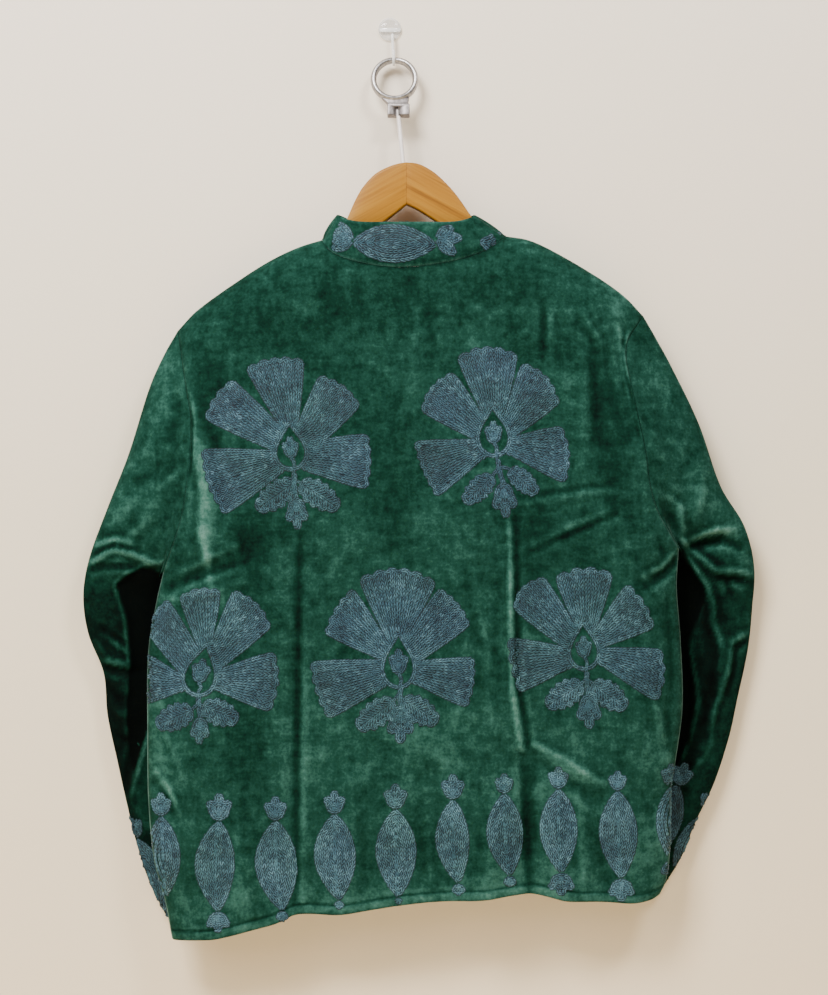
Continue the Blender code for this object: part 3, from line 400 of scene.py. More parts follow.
DROPS = {
    # flower: its drop's tip, foot and half width, and the trefoil's top and foot
    "upper_left": ((-103, -427), (-100, -471), 16.2, (-96, -502), (-94, -535)),
    "upper_right": ((107, -410), (109, -457), 16.4, (118, -487), (121, -523)),
    "lower_left": ((-188, -655), (-199, -704), 16.8, (-194, -729), (-196, -757)),
    "lower_middle": ((10, -644), (10, -696), 16.6, (12, -717), (12, -756)),
    "lower_right": ((200, -633), (202, -677), 15.2, (206, -705), (207, -741)),
}
PETALS = [
    # flower, gap's end and tip on one side, on the other side, bow, scallops
    ("upper_left", (-114, -426), (-146, -372), (-93, -424), (-88, -364), 8.3, 5),
    ("upper_left", (-93, -424), (-73, -379), (-63, -441), (-32, -410), 8.3, 5),
    ("upper_left", (-63, -441), (-25, -437), (-85, -475), (-26, -493), 5.2, 5),
    ("upper_left", (-113, -479), (-166, -518), (-122, -453), (-189, -452), 8.3, 6),
    ("upper_left", (-122, -453), (-186, -423), (-114, -426), (-158, -383), 7.7, 4),
    ("upper_right", (97, -417), (72, -362), (120, -415), (132, -360), 12.9, 5),
    ("upper_right", (120, -415), (136, -367), (130, -439), (172, -408), 11.9, 5),
    ("upper_right", (130, -439), (174, -429), (125, -458), (178, -486), 8.8, 5),
    ("upper_right", (97, -462), (52, -500), (87, -442), (29, -444), 4.6, 6),
    ("upper_right", (87, -442), (37, -415), (97, -417), (69, -376), 10.8, 5),
    ("lower_left", (-196, -659), (-215, -608), (-182, -649), (-174, -602), 8.3, 4),
    ("lower_left", (-182, -649), (-162, -601), (-172, -678), (-125, -639), 10.3, 5),
    ("lower_left", (-172, -678), (-122, -662), (-180, -700), (-127, -722), 8.8, 5),
    ("lower_left", (-214, -702), (-251, -715), (-215, -684), (-253, -661), 4.1, 5),
    ("lower_left", (-215, -684), (-246, -646), (-196, -659), (-226, -609), 8.3, 5),
    ("lower_middle", (-1, -651), (-29, -591), (19, -645), (47, -594), 15.5, 6),
    ("lower_middle", (19, -645), (50, -598), (34, -670), (81, -636), 7.2, 5),
    ("lower_middle", (34, -670), (84, -667), (27, -694), (77, -718), 6.2, 5),
    ("lower_middle", (-5, -698), (-59, -729), (-10, -669), (-77, -671), 5.7, 5),
    ("lower_middle", (-10, -669), (-63, -644), (-1, -651), (-35, -598), 6.2, 5),
    ("lower_right", (191, -632), (173, -589), (215, -635), (230, -586), 10.8, 4),
    ("lower_right", (215, -635), (243, -594), (220, -657), (270, -638), 7.2, 4),
    ("lower_right", (220, -657), (276, -658), (222, -677), (273, -711), 8.3, 4),
    ("lower_right", (190, -676), (138, -702), (177, -655), (127, -647), 4.6, 4),
    ("lower_right", (177, -655), (131, -619), (191, -632), (163, -588), 12.4, 5),
]
LEAVES = [
    # flower, start, tip, half width
    ("upper_left", (-97, -486), (-136, -514), 14),
    ("upper_left", (-91, -487), (-52, -513), 14),
    ("upper_right", (107, -480), (78, -507), 12),
    ("upper_right", (125, -473), (153, -498), 11),
    ("lower_left", (-203, -721), (-240, -737), 14),
    ("lower_left", (-192, -717), (-156, -732), 14),
    ("lower_middle", (5, -712), (-32, -740), 14),
    ("lower_middle", (14, -711), (50, -734), 14),
    ("lower_right", (199, -694), (163, -717), 14),
    ("lower_right", (210, -694), (245, -719), 14),
]
ALMONDS = [
    # waist, foot, half width, belly aside, height of the crown and of the tail
    ((-235, -830), (-230, -915), 17.5, 0, 23.7, 0),
    ((-175, -835), (-176, -930), 20.4, -4.1, 27.9, 20.6),
    ((-117, -835), (-110, -929), 21.6, -2.6, 24.8, 11.4),
    ((-56, -828), (-51, -918), 21.3, -2.1, 23.7, 9.3),
    ((7, -823), (10, -915), 20.8, -1, 25.8, 7.2),
    ((66, -813), (72, -901), 17.1, -3.4, 25.8, 12.4),
    ((119, -807), (125, -893), 18.8, -2.1, 20.6, 11.4),
    ((175, -802), (178, -890), 19.3, -1.3, 22.7, 22.7),
    ((236, -804), (240, -896), 19.6, -1.2, 20.6, 22.7),
    ((291, -799), (291, -877), 14.4, -1, 22.7, 18.6),
]

# Crowns, in heights of the crown: their circles as (aside, up, radius), the middle they are drawn from,
# the ends of their lines as (aside, up), and their bands
CROWN = [(0.0, 0.37, 0.37), (-0.31, 0.58, 0.165), (0.31, 0.58, 0.165), (0.0, 0.83, 0.17)]
CROWN_MIDDLE = 0.42
CROWN_LOBES = [(0.0, 0.84), (-0.3, 0.58), (0.3, 0.58)]
CROWN_BANDS = [(0.48, 0.64, 0.24), (0.34, 0.42, 0.2)]    # height at its ends and middle, half width
TREFOIL_WIDE, TAIL_WIDE = 0.74, 1.3

# Flowers: how far a petal's sides curve out, how deep its scallops are for their width, the bud's place
# in the drop, its height and width, and half the stem's width
PETAL_BULGE, SCALLOP_DEEP = 0.7, 0.36
BUD_AT, BUD_HIGH, BUD_WIDE = 0.77, 0.5, 0.8
STEM_HALF = 0.9

# Outlines take shorter links, and small motifs closer rows, and some rows are lighter than others
SHORTER, CLOSER = 0.8, 0.85
TONES = {"outline": 0.06, "opening": 0.10, "petal": 0.08, "stem": 0.06, "stalk": 0.04,
         "leaf": 0.08, "rib": 0.06, "middle": -0.04}

# Motifs of the fronts: how far each flower is moved, the almonds' x, and the hem's x and z below them
FRONT_FLOWERS = [
    ("upper_left", -30, 30),
    ("lower_left", 74, 10),
    ("upper_right", 62, 20),
    ("lower_right", -70, 6),
]
FRONT_ALMONDS = (-215, -160, -106, -52, 2, 62, 116, 170, 222, 268)
FRONT_ALMOND_HEM = ((-227, 26, 284), (-955, -920, -915))
FRONT_ALMOND_RISE = (126, 34)       # waist and foot above the hem
FRONT_ALMOND = (20, 0, 25, 12)      # half width, belly, crown, tail
FRONT_THREAD = (STITCH * 1.1, ROW_GAP * 1.1)

# Cuffs: (x, z) and turn of each, and its almonds as place along and up and height of the waist
CUFFS = {
    "left": ((-180, -937, 0.34), [(-48, -2, 108), (-4, 0, 108), (42, 0, 108)]),
    "right": ((236.5, -903, -0.36), [(58, 6, 98), (21, 22, 98), (-24, 12, 98)]),
}
CUFF_ALMOND_FOOT = 14
CUFF_ALMOND = (17.5, 0, 24, 11)     # half width, belly, crown, tail

# Collar: rows of ALMONDS, turned and moved to (x, z), and sprigs as a foot and the tips of its leaves
COLLAR_ALMONDS = [
    (((0, 44), (0, -44), 20, 0, 0, 0), (6, -240, math.pi / 2 - 0.03)),
    (((0, -85), (0, -156), 15, 0, 0, 0), (8, -230, math.pi / 2 - 0.10)),
]
COLLAR_THREAD = (STITCH * 1.15, ROW_GAP * 1.2)
COLLAR_SPRIGS = [
    ((-37, -237), [(-57, -217), (-66, -232), (-60, -246)]),
    ((49, -235), [(67, -222), (77, -234), (70, -252)]),
]
SPRIG_LEAF_HALF = 6.4
SPRIG_THREAD = (STITCH * 0.8, ROW_GAP * 0.85)

# Links: both legs as place along, middle and half thickness in half widths, height and painted lightness,
# and across each leg its edge, crest and other edge as (aside, rise, painted lightness): painted highlight
# on the crests, painted shade at the legs' ends and edges
LEG = [
    (-0.60, 0.06, 0.18, 0.35, 0.3),
    (-0.24, 0.40, 0.34, 1.0, 0.95),
    (0.16, 0.62, 0.35, 1.0, 1.0),
    (0.54, 0.60, 0.24, 0.4, 0.25),
]
LEG_PROFILE = [(1.0, -0.12, 0.0), (0.0, 1.0, 1.0), (-1.0, 0.1, 0.1)]
LINK_OVERLAP = 1.14
LINK_JITTER = 0.12
LINK_TURN = 0.16
LINK_WIDE_RANGE = (0.9, 1.12)
LINK_HIGH_RANGE = (0.8, 1.25)
# A base below each link, coloured with the thread's darkest painted shade, as painted shade between the
# stitches
BASE_RISE, BASE_HALF = 0.25, 0.60    # the dark base below a link

# Lightness and tint from link to link: middle, share of the patches, their size, and spread within them
LIGHT_PATCHES = (0.48, 0.22, 34, 0.12)
TINT_PATCHES = (0.45, 0.8, 55, 0.10)
TINT_FROM = (7, 3, 1)

# Seeds of the stitches' small differences
SEEDS = {
    "flowers_upper": 5,
    "flowers_lower": 6,
    "almonds_hem": 7,
    "almond_collar": 8,
    "almonds_cuff_left": 9,
    "almonds_cuff_right": 10,
    "flowers_front_left": 11,
    "flowers_front_right": 12,
}

# Velvet: scale, detail and stretch of each layer of noise, and its share in the mottling
MOTTLING = [
    ((15, 3), 0.15),
    ((42, 4, (0.6, 1, 1.7)), 0.16),
    ((42, 4, (1.7, 1, 0.6)), 0.14),
    ((120, 5), 0.21),
    ((360, 3), 0.20),
    ((900, 2), 0.08),
    ((110, 4, (0.45, 1, 2.2)), 0.10),
    ((110, 4, (2.2, 1, 0.45)), 0.08),
]
MOTTLING_DARKER = 0.06

# Colours along a pattern: place from 0 to 1, then red, green and blue from 0 to 255 on a screen,
# or four numbers of light
VELVET_SHADES = [
    (0.10, (0, 3, 2)),
    (0.30, (2, 17, 12)),
    (0.44, (6, 39, 29)),
    (0.54, (21, 57, 47)),
    (0.66, (48, 87, 77)),
    (0.90, (100, 140, 128)),
]
COOL_THREAD = [(0.0, (16, 42, 58)), (0.5, (54, 90, 106)), (1.0, (102, 142, 158))]
TEAL_THREAD = [(0.0, (12, 47, 52)), (0.5, (48, 88, 94)), (1.0, (94, 140, 146))]
# The thread's painted shading, multiplied on its colour: painted shade at the base and the legs' ends and
# edges, full colour on the crests
THREAD_PAINTED_SHADING = [(0.2, (0.06, 0.09, 0.11, 1)), (0.75, (1.0, 1.0, 1.0, 1))]
WOOD_SHADES = [(0.28, (108, 66, 10)), (0.42, (138, 90, 16)), (0.52, (149, 101, 22)), (0.68, (158, 111, 30))]
STEEL_SHADES = [(0.3, (132, 129, 130)), (0.7, (190, 187, 187))]
WORN_SHADES = [(0.3, (112, 107, 107)), (0.7, (156, 150, 149))]
CLEAR_SHADES = [(0.3, (0.86, 0.86, 0.85, 1)), (0.7, (0.97, 0.97, 0.96, 1))]
ENAMEL_SHADES = [(0.3, (206, 198, 194)), (0.7, (226, 219, 214))]
# Plaster colours, with painted warm light from the floor at the bottom
PLASTER_AND_FLOOR_LIGHT = [(0.0, (246, 228, 196)), (0.5, (235, 222, 197)), (1.0, (238, 226, 210))]

# Stage: half width and heights of the wall, the floor's near edge, and y of the wall
STAGE_HALF = 2600
STAGE_LOW, STAGE_HIGH = -1400, 1600
STAGE_NEAR = -3200
WALL_Y = 1
ROOM_COLOUR, ROOM_STRENGTH = (1.0, 0.97, 0.94, 1), 0.28
LIGHTS = [
    # name, place, target, size, power, colour
    ("ceiling", (-0.9, -1.75, 1.25), (0.0, 0.0, -0.55), (0.9, 0.7), 108, (1.0, 0.985, 0.96)),
    ("ceiling_right", (1.0, -1.6, 1.25), (0.1, 0.0, -0.5), (0.5, 0.4), 36, (1.0, 0.98, 0.95)),
    ("window", (-1.6, -2.3, 0.6), (0.0, 0.0, -0.6), (1.4, 1.4), 30, (1.0, 0.985, 0.96)),
]

# Hanger: its raised middle as (x, top z, bottom z), and its arms as (x, height, half thickness)
HANGER_MIDDLE = [
    (-60, -234.5, -254), (-52, -225, -249), (-44, -208, -243), (-36, -190, -237), (-28, -176, -231),
    (-15, -162, -221), (0, -153.9, -209), (10, -150.8, -201), (18, -149.6, -194.5), (30, -151.0, -200),
    (40, -155.5, -206.5), (50, -162.3, -213), (64, -176, -223), (73, -187, -229), (82, -200, -236),
    (92, -214.5, -243), (102, -225.5, -248), (111, -231.5, -253),
]
LEFT_ARM = [(-207, 12, 3.0), (-200, 24, 4.4), (-180, 30, 5.4), (-153, 32, 5.6), (-122, 33, 5.6),
            (-95, 30, 5.6), (-71, 24, 5.6)]
RIGHT_ARM = [(124, 27, 5.6), (146, 32, 5.6), (171, 33, 5.6), (216, 31, 5.4), (243, 24, 4.4), (250, 12, 3.0)]
HANGER_HALF = 5.6
HANGER_DROP = 3.4
HANGER_CORNER = 3.2
HANGER_JOINT_X = 18
JOINT_GROOVE, JOINT_HALF = 0.3, 0.5
GRAIN_SLOPE = 0.5

# Ring, clamp, stem and wall hook, each with (x, y, z)
RING_CENTRE = (5.2, -15.6, -57.4)
RING_RADIUS = 22.3
RING_WIRE = (3.2, 5.4)    # half its width across the ring, and along its axis
RING_TOP_NARROWER = 0.30
RING_LEAN = 0.22
CLAMP_CENTRE = (9.6, -22.4, -88.0)
CLAMP_SECTIONS = [
    # up from its centre, aside, half width, half depth
    (10.4, -3.4, 14.6, 2.0), (9.4, -3.2, 14.4, 3.0), (7.0, -2.3, 12.9, 3.5), (4.8, -1.4, 11.6, 3.8),
    (3.0, -0.5, 10.9, 4.1), (2.2, -0.1, 11.3, 4.4), (1.4, 0.0, 11.8, 4.5), (-9.4, 0.0, 11.8, 4.5),
    (-10.4, 0.0, 11.6, 4.2), (-10.8, 0.0, 10.9, 3.4),
]
SLOT_X, SLOT_Y, SLOT_Z = (-3.3, -0.3), (-6, -1.5), (-13, -1.5)
STEM_TOP = (9.0, -24.0, -92.0)
STEM_FOOT = (15.8, -36.5, -163.0)
STEM_RADIUS = 2.3
PAD_RADIUS = 12.3
PAD_THICK = 3.2
PAD_PROFILE = [
    # radius, y
    (PAD_RADIUS, -0.02), (PAD_RADIUS, -1.0), (PAD_RADIUS - 0.5, -1.5), (PAD_RADIUS - 1.4, -1.6),
    (PAD_RADIUS - 2.0, -2.4), (PAD_RADIUS - 3.0, -PAD_THICK), (2.0, -PAD_THICK),
]
PAD_BAR = [(-11, 0.4), (-10.4, 0.9), (0, 1.0), (11, 0.9), (11.6, 0.4)]    # x, share of its full size
BAR_MIDDLE = (-2.4, -1.2)
BAR_HALF_DEEP, BAR_HALF_HIGH, BAR_CORNER = 0.9, 2.3, 0.6
PRONG_WIRE = 1.5
PRONG_PATH = [
    (3.0, -3.7, -7.0), (3.0, -5.5, -7.1), (3.0, -6.3, -9.5), (3.2, -6.4, -16), (3.8, -6.2, -30),
    (4.2, -6.8, -37.2), (4.4, -10.8, -40.3), (4.4, -14.8, -37.2), (4.4, -15.8, -32), (4.4, -15.9, -26),
]


def ease(t):
    """0 to 1 with flat ends."""
    t = np.clip(t, 0.0, 1.0)
    return t * t * (3 - 2 * t)


def swell(distance, reach):
    """0 at an edge to 1 at the reach from it, round like a quarter of an ellipse."""
    t = np.clip(distance / reach, 0.0, 1.0)
    return np.sqrt(1 - (1 - t) ** 2)


def mix(a, b, t):
    return a + (b - a) * t


class Path:
    """A smooth line through points, read by the share of its length from 0 to 1."""

    def __init__(self, points):
        self.points = np.array(points, float)
        steps = np.linalg.norm(np.diff(self.points, axis=0), axis=1)
        self.at = np.concatenate([[0.0], np.cumsum(steps)]) / steps.sum()
        count = len(points)
        low = np.maximum(np.arange(count) - 1, 0)
        high = np.minimum(np.arange(count) + 1, count - 1)
        self.slopes = (self.points[high] - self.points[low]) / (self.at[high] - self.at[low])[:, None]

    def __call__(self, share):
        share = np.clip(np.asarray(share, float), 0.0, 1.0)
        i = np.clip(np.searchsorted(self.at, share) - 1, 0, len(self.at) - 2)
        step = self.at[i + 1] - self.at[i]
        t = ((share - self.at[i]) / step)[..., None]
        step = step[..., None]
        h1, h2 = (1 + 2 * t) * (1 - t) ** 2, t * t * (3 - 2 * t)
        h3, h4 = t * (1 - t) ** 2, t * t * (t - 1)
        return (h1 * self.points[i] + h2 * self.points[i + 1]
                + step * (h3 * self.slopes[i] + h4 * self.slopes[i + 1]))


def joined(first, second, at):
    """Two paths as one, the first read up to a share and the second after it."""

    def read(share):
        share = np.asarray(share, float)
        low = first(share / at)
        high = second((share - at) / (1 - at))
        return np.where((share <= at)[..., None], low, high)

    return read


def flipped(path):
    return lambda share: path(1 - np.asarray(share, float))


def spaced(turns, step):
    """The shares of a grid's lines: each stretch between two turns in an even number of steps."""
    shares = [turns[0]]
    for a, b in zip(turns, turns[1:]):
        count = 2 * math.ceil((b - a) / (2 * step))
        shares += [a + (b - a) * k / count for k in range(1, count)] + [b]
    return np.array(shares)


def fold_height(folds, x, z):
    """How far the folds of a table move the cloth at each place."""
    total = np.zeros_like(x)
    for points, width, height in folds:
        lengths = [math.dist(a, b) for a, b in zip(points, points[1:])]
        whole, done = sum(lengths), 0.0
        nearest, share = np.full_like(x, np.inf), np.zeros_like(x)
        for (ax, az), (bx, bz), length in zip(points, points[1:], lengths):
            along = ((x - ax) * (bx - ax) + (z - az) * (bz - az)) / length**2
            near = np.clip(along, 0.0, 1.0)
            aside = np.hypot(x - ax - near * (bx - ax), z - az - near * (bz - az))
            closer = aside < nearest
            share = np.where(closer, (done + near * length) / whole, share)
            nearest = np.minimum(nearest, aside)
            done += length
        taper = 0.35 + 0.65 * np.sin(np.pi * np.clip(share, 0.12, 0.88))
        total += height * taper * np.exp(-((2 * nearest / width) ** 2))
    return total


def rumples(x, z, table, seed):
    """Soft uneven swelling of cloth, in the sizes and heights of a table."""
    total = np.zeros_like(x)
    for size, height, step in table:
        spots = [Vector((a / size, b / size, seed + step)) for a, b in zip(x.ravel(), z.ravel())]
        total += height * np.array([noise.fractal(spot, 1.0, 2.0, 3) for spot in spots]).reshape(x.shape)
    return total


def middle_y(z):
    return mix(SHOULDER_Y, UNDERARM_Y, ease((MIDDLE_TURN_Z - z) / MIDDLE_TURN_OVER))


class Panel:
    """A back or a front: four outlines, filled between them and swollen away from the middle plane."""

    def __init__(self, left, right, hem, top, out, depth, reach, folds, fine_folds, neck_depth, seed):
        self.left, self.right, self.hem, self.top = left, right, hem, top
        self.out, self.depth, self.reach = out, depth, reach
        self.folds, self.fine_folds, self.neck_depth, self.seed = folds, fine_folds, neck_depth, seed

    def grid(self, u, v):
        """The outer points for each row v and column u, and how far each is raised by folds."""
        left, right, hem, top = self.left(v), self.right(v), self.hem(u), self.top(u)
        share, rise = u[None, :, None], v[:, None, None]
        low = mix(self.hem(0.0), self.hem(1.0), u[:, None])[None]
        high = mix(self.top(0.0), self.top(1.0), u[:, None])[None]
        flat = mix(left[:, None], right[:, None], share) + mix(hem[None], top[None], rise)
        flat = flat - mix(low, high, rise)
        x, z = flat[..., 0], flat[..., 1]
        rise = rise[..., 0]
        above = ease((rise - ARM_REACH_FROM) / (UNDERARM_ROW - ARM_REACH_FROM))
        near = []
        for edge, reach, sign in ((left, self.reach[0], 1), (right, self.reach[1], -1)):
            if reach:
                near.append(swell(sign * (x - edge[:, None, 0]), mix(reach, BACK_SIDE_REACH, above)))
            else:
                near.append(np.ones_like(x))
        drop = swell((top[None, :, 1] - z) + 0.2 * np.abs(top[None, :, 0] - x), SHOULDER_REACH)
        full = self.depth * near[0] * near[1] * drop
        edge = sum(self.edge_depth(v, side)[:, None] * (1 - near[side]) for side in (0, 1))
        neck = self.neck_depth(u)[None, :] * (1 - drop)
        least = np.minimum(near[0], near[1])
        free = ease((1 - rise) / LARGE_FROM_TOP) * ease((least - LARGE_FROM_SIDE) / LARGE_OVER)
        close = ease((1 - rise) / FINE_FROM_TOP) * ease((least - FINE_FROM_SIDE) / FINE_OVER)
        raised = free * fold_height(self.folds, x, z)
        raised += close * fold_height(self.fine_folds, x, z)
        raised += close * rumples(x, z, PANEL_RUMPLES, self.seed)
        raised += self.turned_hem((z - hem[None, :, 1]))
        y = middle_y(z) + self.out * (SEAM_GAP / 2 + full + edge + neck + raised)
        return np.stack([x, y, z], axis=-1), raised

    def turned_hem(self, up):
        """The hem's turned edge, a little thicker, with its line of stitches as a groove."""
        groove = HEM_GROOVE * np.exp(-(((up - HEM_TURN) / HEM_GROOVE_HALF) ** 2))
        return HEM_RISE * (up < HEM_TURN) * ease(up / 4) - groove

    def edge_depth(self, v, side):
        if self.reach[side] == 0:
            return np.zeros_like(v)
        share = np.clip((v - UNDERARM_ROW) / (1 - UNDERARM_ROW), 0, 1)
        return ARM_DEPTH * np.sin(np.pi * share) ** SLEEVE_ROUND * (v > UNDERARM_ROW)


def back_neck_depth(u):
    share = np.clip((u - NECK_FROM) / (NECK_TO - NECK_FROM), 0, 1)
    return NECK_DEPTH_BACK * np.abs(np.sin(np.pi * share)) ** NECK_SQUARE * (share > 0) * (share < 1)


def front_neck_depth(u):
    share = np.clip((u - FRONT_NECK_FROM) / (1 - FRONT_NECK_FROM), 0, 1)
    return NECK_DEPTH_FRONT * np.sin(np.pi / 2 * share) ** NECK_SQUARE


def make_panels():
    left = joined(Path(LEFT_SIDE), Path(LEFT_ARMHOLE), UNDERARM_ROW)
    right = joined(Path(RIGHT_SIDE), Path(RIGHT_ARMHOLE), UNDERARM_ROW)
    hem, neck = Path(BACK_HEM), Path(BACK_NECK)
    left_shoulder, right_shoulder = Path(LEFT_SHOULDER), Path(RIGHT_SHOULDER)

    def back_top(u):
        u = np.asarray(u, float)[..., None]
        middle = neck((u[..., 0] - NECK_FROM) / (NECK_TO - NECK_FROM))
        ends = np.where(u <= NECK_FROM, left_shoulder(u[..., 0] / NECK_FROM),
                        right_shoulder((u[..., 0] - NECK_TO) / (1 - NECK_TO)))
        return np.where((u > NECK_FROM) & (u < NECK_TO), middle, ends)

    back = Panel(left, right, hem, back_top, -1, BACK_DEPTH, (BACK_SIDE_REACH,) * 2,
                 BACK_FOLDS, FINE_FOLDS, back_neck_depth, RUMPLE_SEEDS["back"])
    fronts = {}
    for name, sign in (("left", -1), ("right", 1)):
        edge_x = FRONT_X + sign * FRONT_PARTING
        side = left if sign < 0 else right
        corner_x = side(0.0)[0]
        shoulder = left_shoulder if sign < 0 else flipped(right_shoulder)
        neck_x, neck_z = shoulder(1.0)
        to_edge = (edge_x - hem(0.0)[0]) / (hem(1.0)[0] - hem(0.0)[0])

        def front_hem(u, sign=sign, edge_x=edge_x, corner_x=corner_x, to_edge=to_edge):
            u = np.asarray(u, float)
            share = u * to_edge if sign < 0 else 1 - u * (1 - to_edge)
            lift = FRONT_HEM_LIFT * ease(u / FRONT_HEM_LIFT_BY)
            return np.stack([mix(corner_x, edge_x, u), hem(share)[..., 1] + lift], axis=-1)

        def front_top(u, edge_x=edge_x, shoulder=shoulder, neck_x=neck_x, neck_z=neck_z):
            u = np.asarray(u, float)
            share = np.clip((u - FRONT_NECK_FROM) / (1 - FRONT_NECK_FROM), 0, 1)
            sag = FRONT_NECK_BOW * np.sin(np.pi * share)
            low = np.stack([mix(neck_x, edge_x, share), mix(neck_z, FRONT_NECK_Z, share) - sag], axis=-1)
            return np.where((u <= FRONT_NECK_FROM)[..., None], shoulder(u / FRONT_NECK_FROM), low)

        def centre(v, edge_x=edge_x, top=front_top, low=front_hem):
            v = np.asarray(v, float)
            return np.stack([np.full_like(v, edge_x), mix(low(1.0)[1], top(1.0)[1], v)], axis=-1)

        shared = (1, FRONT_DEPTH)
        folds = (FRONT_FOLDS, FRONT_FINE_FOLDS)
        if sign < 0:
            fronts[name] = Panel(side, centre, front_hem, front_top, *shared, (FRONT_SIDE_REACH, 0), *folds,
                                 front_neck_depth, RUMPLE_SEEDS["front_left"])
        else:
            fronts[name] = Panel(centre, side, flipped(front_hem), flipped(front_top), *shared,
                                 (0, FRONT_SIDE_REACH), *folds, lambda u: front_neck_depth(1 - u),
                                 RUMPLE_SEEDS["front_right"])
    return back, fronts


def unit(a):
    return a / np.maximum(np.linalg.norm(a, axis=-1, keepdims=True), 1e-9)


def beside(way):
    """A way in the (x, z) plane, turned a quarter to its left."""
    return np.array([-way[1], way[0]])


def inner_grid(outer, wall, turn, edge_ways):
    """The cloth's inside, a wall's thickness in, its first and last column and row cut along given ways."""
    along = np.empty_like(outer)
    up = np.empty_like(outer)
    along[:, 1:-1] = outer[:, 2:] - outer[:, :-2]
    along[:, 0], along[:, -1] = outer[:, 1] - outer[:, 0], outer[:, -1] - outer[:, -2]
    up[1:-1] = outer[2:] - outer[:-2]
    up[0], up[-1] = outer[1] - outer[0], outer[-1] - outer[-2]
    normal = unit(turn * np.cross(along, up))
    square = normal.copy()
    for place, tangent, edge_way in zip((np.s_[:, 0], np.s_[:, -1], np.s_[0], np.s_[-1]),
                                        (up, up, along, along), edge_ways):
        way = unit(np.cross(edge_way, tangent[place]))
        flip = np.where((way * normal[place]).sum(-1, keepdims=True) < 0, -1.0, 1.0)
        square[place] = way * flip
    return outer - wall * square


def panel_inner(panel, outer, u, v):
    """Inside of a panel, its side and shoulder seams cut face to face with the next piece's."""
    underarm = int(np.argmin(np.abs(v - UNDERARM_ROW)))
    side_way = np.where((np.arange(len(v)) < underarm)[:, None], (0.0, 1.0, 0.0), (1.0, 0.0, 0.0))
    centre_way = np.tile((1.0, 0.0, 0.0), (len(v), 1))
    if panel.out < 0:
        at_neck = (u >= NECK_FROM) & (u <= NECK_TO)
    else:
        from_side = u if panel.reach[0] else 1 - u
        at_neck = from_side >= FRONT_NECK_FROM
    top_way = np.where(at_neck[:, None], (0.0, 0.0, 1.0), (0.0, 1.0, 0.0))
    ways = [side_way if reach else centre_way for reach in panel.reach]
    ways += [np.tile((0.0, 0.0, 1.0), (len(u), 1)), top_way]
    inner = inner_grid(outer, WALL, -panel.out, ways)
    for side, column in ((0, 0), (1, -1)):
        if panel.reach[side]:
            inner[underarm, column] = outer[underarm, column] + (0, 0, WALL)
            inner[-1, column] = outer[-1, column] - (0, 0, WALL)
    ends = np.flatnonzero(np.diff(at_neck.astype(int)))
    for column in ends:
        column = column + 1 if at_neck[column + 1] else column
        inward = 1 if outer[-1, column, 0] < FRONT_X else -1
        inner[-1, column] = outer[-1, column] + (inward * WALL, 0, 0)
    return inner


def sleeve_points(row, shares, sides, wall):
    """Points round a sleeve's sections: a share runs from the section's inner point to its outer one."""
    outer_x, outer_z, inner_x, inner_z, outer_y, inner_y, depth = (row[:, i:i + 1] for i in range(7))
    length = np.hypot(outer_x - inner_x, outer_z - inner_z)
    cut = wall / length
    across = mix(cut, 1 - cut, (1 - np.cos(np.pi * shares)) / 2)
    round_it = np.abs(np.sin(np.pi * shares))
    thick = (depth - wall) * round_it ** SLEEVE_ROUND
    x = mix(inner_x, outer_x, across)
    z = mix(inner_z, outer_z, across)
    y = mix(inner_y, outer_y, across) + sides * thick
    bump = fold_height(SLEEVE_FOLDS, x, z) * round_it * (sides < 0)
    return np.stack([x, y - bump, z], axis=-1), x, z, round_it


def sleeve_grids(table, rings, shares, sides, seed):
    """Outer and inner rings of a sleeve, from the armhole's own points to the cuff."""
    path = Path(table)
    rows = path((np.arange(SLEEVE_ROWS + 1) / SLEEVE_ROWS) ** SLEEVE_ROW_POWER)
    blend = rows[:, 7].copy()
    blend[0] = 1.0
    grids, heights = [], []
    for wall, ring in zip((0.0, WALL), rings):
        plain, x, z, round_it = sleeve_points(rows, shares, sides, wall)
        start = sleeve_points(table[:1], shares, sides, wall)[0]
        grid = plain + blend[:, None, None] * (ring[None] - start)
        far = ease(np.arange(SLEEVE_ROWS + 1) / SLEEVE_FOLD_ROWS)[:, None]
        fine = fold_height(FINE_SLEEVE_FOLDS, x, z) * np.where(sides < 0, 1.0, WALL_SIDE_FOLDS)
        fine += rumples(x, z, SLEEVE_RUMPLES, seed)
        fine += hollow(x, z, DEPTH) * np.where(sides < 0, 1.0, WALL_SIDE_HOLLOWS)
        raised = far * fine * np.minimum(round_it * 1.6, 1.0)
        room = np.maximum(rows[:, 6:7] * round_it ** SLEEVE_ROUND - SLEEVE_LEAST, 0.0)
        raised = np.maximum(raised, -room * np.where(sides < 0, SLEEVE_ROOM, WALL_SIDE_ROOM))
        grid[..., 1] += sides * raised
        grids.append(grid)
        heights.append(raised)
    return grids[0], grids[1], heights[0]


def hollow(x, z, column):
    """What a column of the table of hollows adds at each place."""
    flat = np.stack([x.ravel(), z.ravel()], axis=-1)
    total = np.zeros(len(flat))
    for row in HOLLOWS:
        corners = np.array(row[0], float)
        far = distance(flat, corners) * np.where(inside(flat, corners), 1, -1)
        total += row[column] * ease(0.5 + far / row[1])
    return total.reshape(x.shape)


def armhole_ring(back_grid, front_grid, rows, column, shift):
    """The armhole's points round the back and the front, moved off them by the seam's gap."""
    back_side, front_side = back_grid[rows, column], front_grid[rows, column]
    ring = np.concatenate([back_side, front_side[-2:0:-1]]).copy()
    ring[0] = (back_side[0] + front_side[0]) / 2
    ring[len(rows) - 1] = (back_side[-1] + front_side[-1]) / 2
    ring[:, 0] += shift
    ring[0, 0] += shift
    return ring


